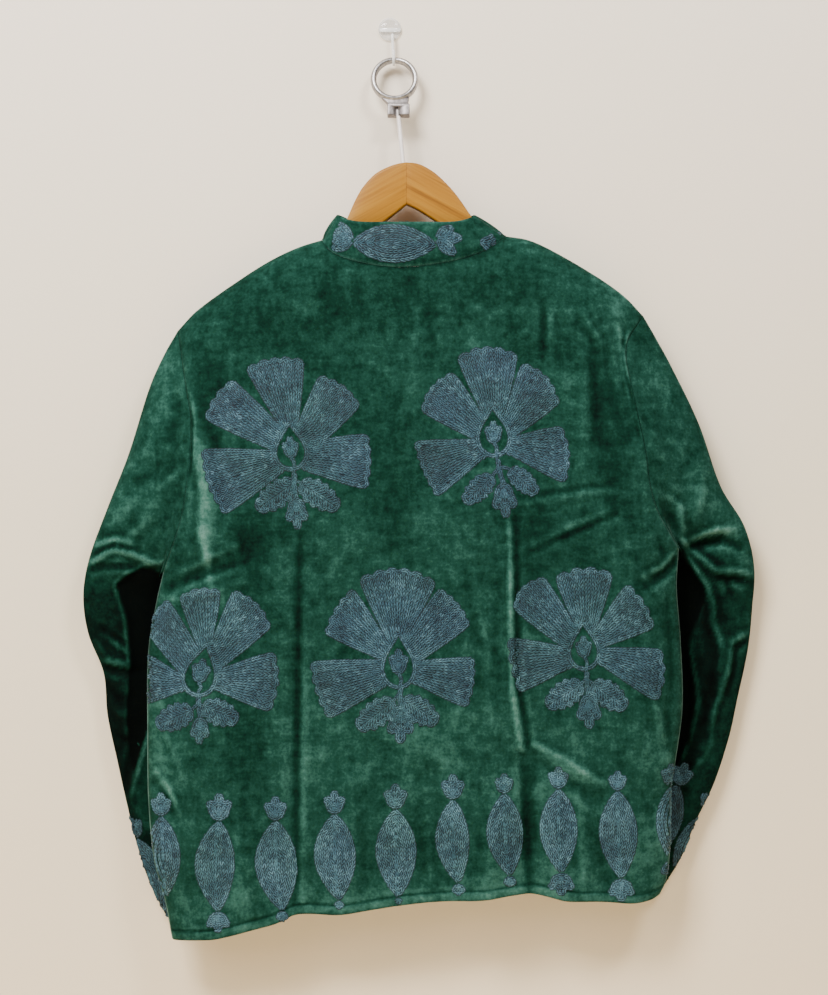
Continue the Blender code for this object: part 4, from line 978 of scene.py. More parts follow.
def collar_grids(back, fronts, neck_of):
    """Outer and inner rows of the collar, standing on the panels' neck edges."""
    (left_out, left_in, left_neck), (right_out, right_in, right_neck) = fronts["left"], fronts["right"]
    back_out, back_in = back

    def neck_edge(left, middle, right):
        return np.concatenate([left[-1][left_neck][::-1], middle[-1][neck_of], right[-1][right_neck][::-1]])

    base, lining = neck_edge(left_out, back_out, right_out), neck_edge(left_in, back_in, right_in)
    neck_half = (back_out[-1][neck_of][-1, 0] - back_out[-1][neck_of][0, 0]) / 2
    off = (base[:, 0] - FRONT_X) / neck_half
    top_z = np.where(base[:, 1] < SHOULDER_Y,
                     mix(COLLAR_TOP_BACK, COLLAR_TOP_SIDE, np.minimum(np.abs(off), 1.0) ** 6),
                     mix(COLLAR_TOP_FRONT, COLLAR_TOP_SIDE, ease(np.abs(off))))
    top = np.stack([COLLAR_TOP_X + (base[:, 0] - FRONT_X) * COLLAR_TAKE_IN, base[:, 1], top_z], axis=-1)
    lifted = base + (0, 0, COLLAR_LIFT)
    away = (base - lining) * (1, 1, 0)
    flat = np.linalg.norm(away, axis=1, keepdims=True)
    away = np.where(flat > 1e-6, away / np.maximum(flat, 1e-9), (0.0, -1.0, 0.0))
    outer, inner = [], []
    for k in range(COLLAR_ROWS + 1):
        t = k / COLLAR_ROWS
        stitched = 0.0
        for at, depth in COLLAR_LINES:
            stitched -= depth * math.exp(-(((t - at) / COLLAR_LINE_HALF) ** 2))
        rounding = -COLLAR_ROUNDING * max(0.0, (t - COLLAR_ROUND_FROM) / (1 - COLLAR_ROUND_FROM)) ** 2
        point = mix(lifted, top, t) + away * (COLLAR_BOW * math.sin(math.pi * t) + stitched + rounding)
        wall = mix(WALL, COLLAR_WALL, min(1.0, 2.5 * t)) + 1.6 * min(rounding, 0)
        outer.append(lifted if k == 0 else point)
        inner.append(lining + (0, 0, COLLAR_LIFT) if k == 0 else point - away * wall)
    return np.array(outer), np.array(inner)


def linked(name, points, faces, smooth=True, checked=True):
    """An object in the scene, made from points in millimetres."""
    mesh = bpy.data.meshes.new(name)
    mesh.from_pydata((np.asarray(points) * MM).tolist(), [], faces)
    if checked:
        mesh.validate()
    mesh.polygons.foreach_set("use_smooth", [smooth] * len(mesh.polygons))
    mesh.update()
    thing = bpy.data.objects.new(name, mesh)
    bpy.context.scene.collection.objects.link(thing)
    return thing


def grid_faces(rows, columns, ring, start=0, flip=False):
    """Quads of a grid whose points are numbered row by row."""
    last = columns if ring else columns - 1
    i, j = np.meshgrid(np.arange(rows - 1), np.arange(last), indexing="ij")
    k = (j + 1) % columns
    low, high = i * columns, (i + 1) * columns
    quads = np.stack([low + j, low + k, high + k, high + j], axis=-1).reshape(-1, 4) + start
    return (quads[:, ::-1] if flip else quads).tolist()


def shell(name, outer, inner, ring=False, flip=False):
    """A closed cloth from two grids. The inside takes every second line, and the edges join them."""
    rows, columns = outer.shape[:2]
    coarse = inner[::2, ::2]
    low_rows, low_columns = coarse.shape[:2]
    start = rows * columns
    points = np.concatenate([outer.reshape(-1, 3), coarse.reshape(-1, 3)])
    faces = grid_faces(rows, columns, ring, 0, flip)
    faces += grid_faces(low_rows, low_columns, ring, start, not flip)

    def out(i, j):
        return i * columns + j % columns

    def ins(i, j):
        return start + (i // 2) * low_columns + (j // 2) % low_columns

    last = columns if ring else columns - 1
    for i in (0, rows - 1):
        for j in range(0, last, 2):
            edge = [out(i, j), out(i, j + 1), out(i, j + 2), ins(i, j + 2), ins(i, j)]
            faces.append(edge if (i > 0) != flip else edge[::-1])
    if not ring:
        for j in (0, columns - 1):
            for i in range(0, rows - 1, 2):
                edge = [out(i, j), out(i + 1, j), out(i + 2, j), ins(i + 2, j), ins(i, j)]
                faces.append(edge if (j == 0) != flip else edge[::-1])
    return linked(name, points, faces)


def store(thing, name, values):
    """Keeps one number per point as a grey colour that a material reads."""
    whole = np.zeros((len(thing.data.vertices), 4), np.float32)
    whole[:, 3] = 1.0
    whole[: len(values), :3] = np.asarray(values, np.float32)[:, None]
    layer = thing.data.color_attributes.new(name, "FLOAT_COLOR", "POINT")
    layer.data.foreach_set("color", whole.ravel())


class Ground:
    """A cloth's outer face, on which stitches are laid."""

    def __init__(self, outer, ring=False):
        rows, columns = outer.shape[:2]
        self.tree = BVHTree.FromPolygons(outer.reshape(-1, 3).tolist(), grid_faces(rows, columns, ring))

    def hit(self, point, way):
        """Where a line from the point meets the cloth, with the cloth's normal towards the point."""
        place, normal, _, _ = self.tree.ray_cast(Vector(point), Vector(way))
        if place is None:
            return None
        if normal.dot(Vector(way)) > 0:
            normal = -normal
        return place, normal

    def seen(self, x, z):
        """The place that lies behind (x, z) of a plane before the back, as seen from the camera."""
        return self.hit(EYE, (x - EYE[0], SEEN_Y - EYE[1], z - EYE[2]))

    def behind(self, x, z):
        """The place met from the wall's side."""
        return self.hit((x, BEHIND_Y, z), (0.0, -1.0, 0.0))


class Stitches:
    """Links of chain stitch, gathered and then made into one mesh."""

    def __init__(self, name, paler=0.0):
        self.name = name
        self.paler = paler
        self.rng = np.random.default_rng(SEEDS[name])
        self.links = []

    def row(self, line, lay, tone=0.0, step=STITCH, wide=LINK_WIDE):
        """A row of links along a line of (x, z), laid on the cloth by the function lay."""
        line = np.asarray(line, float)
        if len(line) < 2:
            return
        steps = np.linalg.norm(np.diff(line, axis=0), axis=1)
        length = steps.sum()
        count = int(round(length / step))
        if count < 1:
            return
        at = np.concatenate([[0], np.cumsum(steps)])
        ends = np.linspace(0, length, count + 1)
        ends[1:-1] += self.rng.uniform(-LINK_JITTER, LINK_JITTER, count - 1) * step
        xs, zs = np.interp(ends, at, line[:, 0]), np.interp(ends, at, line[:, 1])
        for k in range(count):
            middle = ((xs[k] + xs[k + 1]) / 2, (zs[k] + zs[k + 1]) / 2)
            met = lay(*middle)
            if met is None:
                continue
            ahead = lay(mix(middle[0], xs[k + 1], 0.5), mix(middle[1], zs[k + 1], 0.5))
            if ahead is None:
                continue
            along = ahead[0] - met[0]
            if along.length < 1e-6 or along.length > 3 * step:
                continue
            length = (ends[k + 1] - ends[k]) * LINK_OVERLAP
            self.links.append((*met[0], *along.normalized(), *met[1], length, wide, tone))

    def points_of(self, links):
        """The points of every link, one link after the other, and the painted highlight and shade of a
        link's points.
        """
        centre, along, normal = links[:, 0:3], links[:, 3:6], links[:, 6:9]
        length, wide = links[:, 9:10], links[:, 10:11]
        count = len(links)
        along = unit(along - (along * normal).sum(1, keepdims=True) * normal)
        across = np.cross(normal, along)
        turn = self.rng.normal(0, LINK_TURN, (count, 1))
        c, n = np.cos(turn), np.sin(turn)
        along, across = along * c + across * n, across * c - along * n
        wide = wide * self.rng.uniform(*LINK_WIDE_RANGE, (count, 1))
        high = LINK_HIGH * self.rng.uniform(*LINK_HIGH_RANGE, (count, 1))
        points, crest_shading = [], []
        # The base below each link takes the darkest painted shade
        for aside, at in ((-1, -0.5), (1, -0.5), (1, 0.5), (-1, 0.5)):
            base = centre + along * length * at + normal * BASE_RISE
            points.append(base + across * (aside * wide * BASE_HALF))
            crest_shading.append(0.0)
        for side in (-1, 1):
            for at, middle, half, height, light in LEG:
                for aside, rise, painted_shine in LEG_PROFILE:
                    points.append(centre + along * length * at + normal * high * (rise * height)
                                  + across * (side * wide / 2 * (middle + aside * half)))
                    crest_shading.append(painted_shine * light)
        return np.stack(points, axis=1).reshape(-1, 3), crest_shading

    def faces_of(self, count, each):
        """The base and both legs of every link, which has so many points each."""
        quads = [[0, 1, 2, 3]]
        for leg in (4, 4 + 3 * len(LEG)):
            for station in range(len(LEG) - 1):
                for part in range(2):
                    a = leg + 3 * station + part
                    quad = [a, a + 1, a + 4, a + 3]
                    quads.append(quad if leg > 4 else quad[::-1])
        return (np.array(quads)[None] + each * np.arange(count)[:, None, None]).reshape(-1, 4).tolist()

    def make(self, material):
        """All links as one mesh, with their lightness, tint and painted crest shading stored as a colour."""
        links = np.array(self.links)
        count, centre, tone = len(links), links[:, 0:3], links[:, 11]
        points, crest_shading = self.points_of(links)
        each = len(crest_shading)
        thing = linked(self.name, points, self.faces_of(count, each), checked=False)
        middle, patches, size, spread = LIGHT_PATCHES
        patch = np.array([noise.fractal(Vector(p) / size, 1.0, 2.0, 2) for p in centre])
        light = middle + self.paler + patches * patch + tone + self.rng.normal(0, spread, count)
        middle, patches, size, spread = TINT_PATCHES
        patch = np.array([noise.noise(Vector(p) / size + Vector(TINT_FROM)) for p in centre])
        tint = middle + patches * patch + self.rng.normal(0, spread, count)
        colours = np.ones((count * each, 4), np.float32)
        colours[:, 0] = np.repeat(np.clip(light, 0, 1), each)
        colours[:, 1] = np.repeat(np.clip(tint, 0, 1), each)
        colours[:, 2] = np.tile(crest_shading, count)
        layer = thing.data.color_attributes.new("thread", "FLOAT_COLOR", "POINT")
        layer.data.foreach_set("color", colours.ravel())
        thing.data.materials.append(material)
        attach(thing, "root")


def inside(points, loop):
    """Which points lie within a closed loop."""
    x, z = points[:, 0:1], points[:, 1:2]
    ax, az = loop[:, 0], loop[:, 1]
    bx, bz = np.roll(ax, -1), np.roll(az, -1)
    crosses = (az > z) != (bz > z)
    slope = (bx - ax) / np.where(np.abs(bz - az) < 1e-12, 1e-12, bz - az)
    return (crosses & (x < ax + (z - az) * slope)).sum(1) % 2 == 1


def distance(points, loop):
    """How far each point is from a closed loop."""
    a, b = loop[None], np.roll(loop, -1, axis=0)[None]
    p = points[:, None]
    run = b - a
    along = np.clip(((p - a) * run).sum(-1) / np.maximum((run**2).sum(-1), 1e-12), 0, 1)
    return np.linalg.norm(p - a - along[..., None] * run, axis=-1).min(1)


def runs(points, kept):
    """The kept points as separate lines."""
    lines, line = [], []
    for point, keep in zip(points, kept):
        if keep:
            line.append(point)
        elif line:
            lines.append(np.array(line))
            line = []
    if line:
        lines.append(np.array(line))
    return [line for line in lines if len(line) > 1]


def resampled(line, step=0.8, closed=True):
    """The same line with a point every step."""
    if closed:
        line = np.vstack([line, line[:1]])
    steps = np.linalg.norm(np.diff(line, axis=0), axis=1)
    at = np.concatenate([[0], np.cumsum(steps)])
    where = np.arange(0, at[-1], step)
    return np.stack([np.interp(where, at, line[:, 0]), np.interp(where, at, line[:, 1])], axis=-1)


def offset_rows(loop, depth):
    """Lines that follow a loop at a depth inside it, or outside it where the depth is negative."""
    loop = resampled(loop)
    area = np.sum(loop[:, 0] * np.roll(loop[:, 1], -1) - np.roll(loop[:, 0], -1) * loop[:, 1])
    along = np.roll(loop, -1, axis=0) - np.roll(loop, 1, axis=0)
    inward = unit(np.stack([-along[:, 1], along[:, 0]], axis=-1)) * (1 if area > 0 else -1)
    moved = loop + inward * depth
    kept = (distance(moved, loop) > abs(depth) - 0.12) & (inside(moved, loop) == (depth > 0))
    if kept.all():
        return [np.vstack([moved, moved[:1]])]
    start = int(np.argmin(kept))
    order = (np.arange(len(moved)) + start) % len(moved)
    return [line for line in runs(moved[order], kept[order]) if len(line) > 3]


def side_line(join, tip, other):
    """A petal's side from the end of the gap beside it to its tip, curved away from its other side."""
    join, tip, other = (np.array(p, float) for p in (join, tip, other))
    way = tip - join
    aside = beside(way) / np.linalg.norm(way)
    if np.dot(aside, other - join) > 0:
        aside = -aside
    t = np.linspace(0, 1, 14)[:, None]
    return join + way * t + aside * PETAL_BULGE * np.sin(np.pi * t**1.4)


def petal_loop(ring, joins, tips, bow, scallops):
    """A fan-shaped petal's outline from a ring, its far end in scallops, and its two sides."""
    ends = [int(np.argmin(np.linalg.norm(ring - np.array(join), axis=1))) for join in joins]
    sides = [np.vstack([ring[end], side_line(a, tip, b)])
             for end, a, tip, b in zip(ends, joins, tips, joins[::-1])]
    tip_a, tip_b = sides[0][-1], sides[1][-1]
    chord = tip_b - tip_a
    out = -beside(chord) / np.linalg.norm(chord)
    if np.dot(out, (tip_a + tip_b) / 2 - np.mean(joins, axis=0)) < 0:
        out = -out

    def arc(t):
        return tip_a + chord * t + out * (bow - 1.5) * math.sin(math.pi * t) ** 0.8

    points = [sides[0]]
    for k in range(scallops):
        a, b = arc(k / scallops), arc((k + 1) / scallops)
        side = b - a
        size = np.linalg.norm(side)
        way = -beside(side) / size
        if np.dot(way, out) < -0.2:
            way = -way
        angle = np.linspace(0, np.pi, 9)[1:, None]
        points.append(a + side * (1 - np.cos(angle)) / 2 + way * size * SCALLOP_DEEP * np.sin(angle))
    points.append(sides[1][::-1][1:])
    count = len(ring)
    forward = (ends[0] - ends[1]) % count
    step = 1 if forward <= count - forward else -1
    between = min(forward, count - forward)
    points.append(ring[(ends[1] + step * np.arange(1, between)) % count])
    return np.vstack(points), sides


def fan_rows(sides, reach, ring, loop, margin, rng, gap):
    """Rows out along a petal between its sides. They close up at its foot, where every second one stops."""
    evened = []
    for side in sides:
        length = np.linalg.norm(np.diff(side, axis=0), axis=1).sum()
        evened.append(resampled(side, length / (FAN_POINTS + 0.5), closed=False)[:FAN_POINTS])
    one, other = evened
    across = np.linalg.norm(one - other, axis=1)
    count = max(2, int(round(across[-1] / gap)))
    lines = []
    for k in range(count):
        line = mix(one, other, (k + 0.5) / count)
        ahead = unit(line[-1] - line[-8])
        line = np.vstack([line, line[-1] + ahead * np.linspace(1, reach, 12)[:, None]])
        if k % 2:
            wide = np.concatenate([across, np.full(12, across[-1])])
            line = line[wide / count > rng.uniform(0.44, 0.56) * gap]
        line = resampled(line, closed=False)
        if len(line) > 1:
            clear = (distance(line, loop) > margin) | (distance(line, ring) < 1.3 * gap)
            lines += runs(line, inside(line, loop) & clear)
    return lines


def drop_loop(tip, foot, half):
    """A drop: pointed at its tip, round at its foot."""
    tip, foot = np.array(tip, float), np.array(foot, float)
    way = foot - tip
    aside = beside(way) / np.linalg.norm(way)
    points = []
    for t in np.linspace(0, 2 * math.pi, 60, endpoint=False):
        down = (1 - math.cos(t)) / 2
        wide = math.sin(t) * math.sin(min(down, 1) * math.pi / 2) ** 0.8
        points.append(tip + way * down + aside * half * wide * 1.08)
    return np.array(points)


def almond_loop(waist, foot, half, belly=0.0, fat=0.8):
    """A pointed oval from its waist down to its foot, its middle moved aside by the belly."""
    waist, foot = np.array(waist, float), np.array(foot, float)
    t = np.linspace(0, 1, 40)[:, None]
    wide = half * np.sin(np.pi * t**0.94) ** fat
    middle = waist + (foot - waist) * t + np.array([belly, 0.0]) * np.sin(np.pi * t)
    way = unit(foot - waist)
    aside = beside(way)
    return np.concatenate([middle - aside * wide, (middle + aside * wide)[::-1][1:-1]])


def crown_loop(foot, rise, wide=1.0):
    """A cup with three round lobes that stands on its foot. Rise is a step up from there."""
    foot, rise = np.array(foot, float), np.array(rise, float)
    aside = -beside(rise) * wide
    points = []
    for angle in np.linspace(0, 2 * math.pi, 120, endpoint=False):
        way = np.array([math.sin(angle), math.cos(angle)])
        reach = 0.0
        for x, z, radius in CROWN:
            middle = np.array([x, z - CROWN_MIDDLE])
            along = way @ middle
            under = radius**2 - middle @ middle + along**2
            if under > 0:
                reach = max(reach, along + math.sqrt(under))
        points.append(foot + rise * (CROWN_MIDDLE + reach * way[1]) + aside * reach * way[0])
    return np.array(points)


def sew_crown(stitches, foot, rise, lay, step, gap, wide=1.0):
    """A crown, filled, with a line to each lobe and two lines across."""
    sew_filled(stitches, crown_loop(foot, rise, wide), lay, step * SHORTER, gap * CLOSER)
    foot, rise = np.array(foot, float), np.array(rise, float)
    aside = -beside(rise) * wide
    lines = []
    for x, z in CROWN_LOBES:
        lines.append([foot + rise * 0.16, foot + rise * 0.4 + aside * x * 0.4, foot + rise * z + aside * x])
    for low, high, half in CROWN_BANDS:
        end, across = foot + rise * low, aside * half
        lines.append([end - across, foot + rise * high, end + across])
    for line in lines:
        stitches.row(Path(line)(np.linspace(0, 1, 12)), lay, 0.0, step * SHORTER)


def sew_filled(stitches, loop, lay, step=STITCH, gap=ROW_GAP):
    """A shape filled with rows that follow its outline inwards."""
    depth, tone = gap * 0.5, TONES["outline"]
    lines = offset_rows(loop, depth)
    while lines:
        for line in lines:
            stitches.row(line, lay, tone, step)
        depth += gap
        tone = 0.0
        lines = offset_rows(loop, depth)


def sew_petal(stitches, ring, joins, tips, bow, scallops, lay, step, gap):
    """A petal's outline, apart from the ring that it stands on, and its rows."""
    loop, sides = petal_loop(ring, joins, tips, bow, scallops)
    for line in offset_rows(loop, gap * 0.5):
        for part in runs(line, distance(line, ring) > gap * 0.8):
            stitches.row(part, lay, TONES["petal"], step * SHORTER)
    for line in fan_rows(sides, bow + 6, ring, loop, gap * 0.72, stitches.rng, gap):
        stitches.row(line, lay, 0.0, step)


def sew_flower(stitches, name, lay, step=STITCH, gap=ROW_GAP):
    """A flower: the opening in its middle, its petals, the bud inside, and its stem, leaves and trefoil."""
    tip, foot, half, trefoil_top, trefoil_foot = (np.array(part, float) for part in DROPS[name])
    opening = drop_loop(tip, foot, half)
    away = unit(tip - foot)
    ring = drop_loop(tip + away * 1.4 * gap, foot - away * gap, half + gap)
    for line in offset_rows(opening, -gap * 0.5):
        stitches.row(line, lay, TONES["opening"], step * SHORTER)
    for flower, join_a, tip_a, join_b, tip_b, bow, scallops in PETALS:
        if flower == name:
            sew_petal(stitches, ring, (join_a, join_b), (tip_a, tip_b), bow, scallops, lay, step, gap)
    bud = mix(tip, foot, BUD_AT)
    sew_crown(stitches, bud, (tip - foot) * BUD_HIGH, lay, step * CLOSER, gap * CLOSER, BUD_WIDE)
    joint = mix(foot, trefoil_top, 0.6)
    stem = Path([bud + (1, 0), bud + (4, -5), mix(bud, foot, 0.9) + (3, 0), joint, trefoil_top])
    stem = stem(np.linspace(0, 1, 30))
    thin = (step * SHORTER, LINK_WIDE * 0.8)
    stitches.row(stem - (STEM_HALF, 0), lay, TONES["stem"], *thin)
    stitches.row(stem[12:] + (STEM_HALF, 0), lay, TONES["stem"], *thin)
    for flower, start, end, half in LEAVES:
        if flower == name:
            stalk = Path([joint + (0, 4), mix(joint, start, 0.5) + (0, 3), np.array(start, float)])
            stitches.row(stalk(np.linspace(0, 1, 10)), lay, TONES["stalk"], *thin)
            sew_leaf(stitches, start, end, half, lay, step * CLOSER, gap * CLOSER)
    sew_crown(stitches, trefoil_top, trefoil_foot - trefoil_top, lay, step, gap, TREFOIL_WIDE)


def leaf_loop(start, end, half, lobes=5):
    """A leaf from its stem to its tip, with lobes along both edges."""
    start, end = np.array(start, float), np.array(end, float)
    way = end - start
    length = np.linalg.norm(way)
    aside = beside(way) / length
    edge = []
    for t in np.linspace(0, 1, 15 * lobes + 1):
        wide = half * math.sin(math.pi * min(t**0.85 * 0.90 + 0.05, 1.0)) ** 0.6
        lobe = abs(math.sin(math.pi * lobes * t)) ** 0.7
        edge.append((start + way * t, wide * (0.66 + 0.42 * lobe)))
    one = [middle + aside * wide for middle, wide in edge]
    other = [middle - aside * wide for middle, wide in reversed(edge)]
    return np.array(one + other)


def sew_leaf(stitches, start, end, half, lay, step, gap):
    """A leaf with a midrib, and rows that slant out from it like a feather's."""
    loop = leaf_loop(start, end, half)
    for line in offset_rows(loop, gap * 0.5):
        stitches.row(line, lay, TONES["leaf"], step * CLOSER)
    start, end = np.array(start, float), np.array(end, float)
    length = np.linalg.norm(end - start)
    way = (end - start) / length
    aside = beside(way)
    reach = np.arange(gap * 0.6, 1.5 * half, 0.6)[:, None]
    for side in (-1, 1):
        slant = unit(way * 0.75 + aside * side)
        for out in np.arange(-0.5 * half, length, gap * 1.05):
            line = start + way * out + slant * reach
            kept = inside(line, loop) & (distance(line, loop) > CLOSER * gap)
            for part in runs(line, kept):
                stitches.row(part, lay, 0.0, step)
    stitches.row(np.array([start + way * gap, end - way * gap * 1.5]), lay, TONES["rib"], step)


def sew_almond(stitches, row, lay, step=STITCH, gap=ROW_GAP, fat=0.8):
    """An almond with a row down its middle, and a crown and a tail where its row has them."""
    waist, foot, half, belly, crown, tail = row
    loop = almond_loop(waist, foot, half, belly, fat)
    sew_filled(stitches, loop, lay, step, gap)
    side = len(loop) // 2
    middle = (loop[1:side] + loop[:side:-1][:side - 1]) / 2
    kept = distance(middle, loop) > gap * 0.45
    for line in runs(middle, kept):
        stitches.row(line, lay, TONES["middle"], step, LINK_WIDE * 0.9)
    if crown:
        sew_crown(stitches, waist, (0.0, crown), lay, step, gap)
    if tail:
        sew_crown(stitches, foot, (0.0, -tail), lay, step, gap, TAIL_WIDE)


def light_of(colour):
    """The light that a colour of 0 to 255 on a screen stands for. Four numbers are light already."""
    if len(colour) == 4:
        return colour
    return tuple(((c / 255 + 0.055) / 1.055) ** 2.4 if c > 10 else c / 3294 for c in colour) + (1.0,)


class Surface:
    """A material on the Principled shader, with patterns on the object's own coordinates."""

    def __init__(self, name, values):
        self.material = bpy.data.materials.new(name)
        self.material.use_nodes = True
        self.nodes, self.links = self.material.node_tree.nodes, self.material.node_tree.links
        self.shader = self.nodes["Principled BSDF"]
        for socket, value in values.items():
            self.shader.inputs[socket].default_value = value
        self.spot = self.nodes.new("ShaderNodeTexCoord").outputs["Object"]

    def add(self, kind, inputs, **settings):
        """A new node, each input linked to another node's output or set to a value."""
        node = self.nodes.new(kind)
        for name, value in settings.items():
            setattr(node, name, value)
        for key, value in inputs.items():
            if isinstance(value, bpy.types.NodeSocket):
                self.links.new(value, node.inputs[key])
            else:
                node.inputs[key].default_value = value
        return node.outputs

    def paint(self, socket, source):
        """Links one of the shader's own sockets."""
        self.links.new(source, self.shader.inputs[socket])

    def noise(self, scale, detail, stretch=(1, 1, 1), source=None):
        """Noise, stretched along the axes."""
        place = {"Vector": self.spot if source is None else source, "Scale": stretch}
        place = self.add("ShaderNodeMapping", place)["Vector"]
        return self.add("ShaderNodeTexNoise", {"Vector": place, "Scale": scale, "Detail": detail})["Fac"]

    def math(self, operation, a, b=0.0):
        return self.add("ShaderNodeMath", {0: a, 1: b}, operation=operation)["Value"]

    def added(self, total, *layers):
        """The total with each layer added in its share."""
        for source, share in layers:
            total = self.math("ADD", total, self.math("MULTIPLY", source, share))
        return total

    def ramp(self, source, stops):
        """Colours along a value from 0 to 1."""
        node = self.nodes.new("ShaderNodeValToRGB")
        elements = node.color_ramp.elements
        elements[0].position, elements[1].position = stops[0][0], stops[-1][0]
        elements[0].color, elements[1].color = light_of(stops[0][1]), light_of(stops[-1][1])
        for position, colour in stops[1:-1]:
            elements.new(position).color = light_of(colour)
        self.links.new(source, node.inputs["Fac"])
        return node.outputs["Color"]

    def ranged(self, source, low, high):
        """A value from 0 to 1, moved to between low and high."""
        return self.add("ShaderNodeMapRange", {"Value": source, "To Min": low, "To Max": high})["Result"]

    def blended(self, factor, one, other, blend_type="MIX"):
        """Two colours, which go into sockets 6 and 7 of the node and come out of its third output."""
        inputs = {"Factor": factor, 6: one, 7: other}
        return self.add("ShaderNodeMix", inputs, data_type="RGBA", blend_type=blend_type)[2]

    def bump(self, height, strength, distance):
        inputs = {"Height": height, "Strength": strength, "Distance": distance}
        self.paint("Normal", self.add("ShaderNodeBump", inputs)["Normal"])


def velvet_material():
    """Crushed velvet: mottled, with soft smears both ways, and the painted highlights and shade of its
    stored per-point value added.
    """
    velvet = Surface("velvet", {
        "Roughness": 0.88,
        "Specular IOR Level": 0.05,
        "Sheen Roughness": 0.3,
        "Sheen Tint": (0.36, 0.62, 0.54, 1),
    })
    layers = [(velvet.noise(*layer), share) for layer, share in MOTTLING]
    # Painted highlights and shade, kept per point
    painted_light = velvet.add("ShaderNodeAttribute", {}, attribute_name="painted_light")["Fac"]
    total = velvet.math("SUBTRACT", velvet.added(painted_light, *layers), MOTTLING_DARKER)
    velvet.paint("Base Color", velvet.ramp(total, VELVET_SHADES))
    sheen = velvet.math("MULTIPLY", velvet.math("SUBTRACT", total, 0.3), 0.8)
    velvet.paint("Sheen Weight", velvet.math("MINIMUM", velvet.math("MAXIMUM", sheen, 0.01), 0.3))
    velvet.bump(velvet.added(layers[3][0], (layers[4][0], 0.6)), 0.3, 0.0010)
    return velvet.material


def thread_material():
    """Matt blue-grey thread, a little different from stitch to stitch, with painted shade between and at the
    ends of its links and a painted highlight on their crests.
    """
    thread = Surface("thread", {
        "Roughness": 0.62,
        "Specular IOR Level": 0.25,
        "Sheen Weight": 0.12,
        "Sheen Roughness": 0.4,
    })
    stored = thread.add("ShaderNodeAttribute", {}, attribute_name="thread")["Color"]
    parts = thread.add("ShaderNodeSeparateColor", {"Color": stored})
    light, tint, crest_shading = (parts[i] for i in range(3))
    fibre = thread.noise(900, 2)
    colour = thread.blended(tint, thread.ramp(light, COOL_THREAD), thread.ramp(light, TEAL_THREAD))
    # Painted shading from the crests, with the fibre's own random tone mixed in
    depth = thread.added(thread.math("MULTIPLY", crest_shading, 0.55), (fibre, 0.5))
    shade = thread.ramp(depth, THREAD_PAINTED_SHADING)
    thread.paint("Base Color", thread.blended(1.0, colour, shade, "MULTIPLY"))
    thread.bump(fibre, 0.5, 0.0004)
    return thread.material


def wood_material():
    """Varnished pale wood. Its grain runs down along both arms from the joint in the middle."""
    wood = Surface("varnished_wood", {
        "Roughness": 0.45,
        "Specular IOR Level": 0.2,
        "Coat Weight": 0.06,
        "Coat Roughness": 0.22,
    })
    spot = wood.add("ShaderNodeSeparateXYZ", {"Vector": wood.spot})
    across = wood.math("SUBTRACT", spot["X"], HANGER_JOINT_X * MM)
    beside = wood.math("ABSOLUTE", across)
    deep = wood.math("ADD", spot["Y"], wood.math("SIGN", across))
    folded = wood.add("ShaderNodeCombineXYZ", {"X": beside, "Y": deep, "Z": spot["Z"]})["Vector"]
    slope = {"Vector": folded, "Rotation": (0.0, -GRAIN_SLOPE, 0.0)}
    tipped = wood.add("ShaderNodeMapping", slope)["Vector"]
    grain = wood.noise(55, 6, (0.16, 1.6, 2.4), tipped)
    streak = wood.noise(190, 3, (0.08, 1.4, 2.6), tipped)
    joint = wood.math("LESS_THAN", beside, 0.0004)
    total = wood.added(wood.math("MULTIPLY", grain, 0.55), (streak, 0.45))
    total = wood.math("SUBTRACT", total, wood.math("MULTIPLY", joint, 0.12))
    wood.paint("Base Color", wood.ramp(total, WOOD_SHADES))
    wood.bump(streak, 0.15, 0.0004)
    return wood.material


def steel_material(name, shades, least_rough):
    """Plated steel with fine wear marks."""
    steel = Surface(name, {"Metallic": 1.0})
    marks = steel.noise(420, 4, (1, 1, 0.5))
    steel.paint("Base Color", steel.ramp(marks, shades))
    steel.paint("Roughness", steel.ranged(marks, least_rough, least_rough + 0.18))
    return steel.material


def enamel_material():
    """White enamel on the hanger's stem, slightly uneven."""
    enamel = Surface("white_enamel", {"Roughness": 0.3})
    enamel.paint("Base Color", enamel.ramp(enamel.noise(180, 3, (1, 1, 0.4)), ENAMEL_SHADES))
    return enamel.material


def clear_material(name, least, most):
    """Clear plastic, seen mostly at its edges: how solid it looks face on and edge on."""
    clear = Surface(name, {"Roughness": 0.08, "Coat Weight": 0.5})
    clear.paint("Base Color", clear.ramp(clear.noise(260, 3), CLEAR_SHADES))
    facing = clear.add("ShaderNodeLayerWeight", {"Blend": 0.35})["Facing"]
    clear.paint("Alpha", clear.ranged(facing, least, most))
    return clear.material


def wall_material():
    """Pale plaster, with faint marks, and painted warm light from the floor: yellower and a little paler
    towards the bottom. It can't be seen from behind.
    """
    wall = Surface("plaster", {"Roughness": 0.9})
    clouds = wall.math("SUBTRACT", wall.noise(2.2, 4), 0.5)
    height = wall.add("ShaderNodeSeparateXYZ", {"Vector": wall.spot})["Z"]
    # Painted light from the floor: yellower and a little paler lower down
    up = wall.math("ADD", wall.math("MULTIPLY", height, 0.9), 0.95)
    wall.paint("Base Color", wall.ramp(wall.added(up, (clouds, 0.5)), PLASTER_AND_FLOOR_LIGHT))
    wall.bump(wall.noise(240, 3), 0.12, 0.0006)
    behind = wall.nodes.new("ShaderNodeNewGeometry").outputs["Backfacing"]
    nothing = wall.nodes.new("ShaderNodeBsdfTransparent").outputs["BSDF"]
    either = wall.add("ShaderNodeMixShader", {"Fac": behind, 1: wall.shader.outputs["BSDF"], 2: nothing})
    wall.links.new(either["Shader"], wall.nodes["Material Output"].inputs["Surface"])
    return wall.material


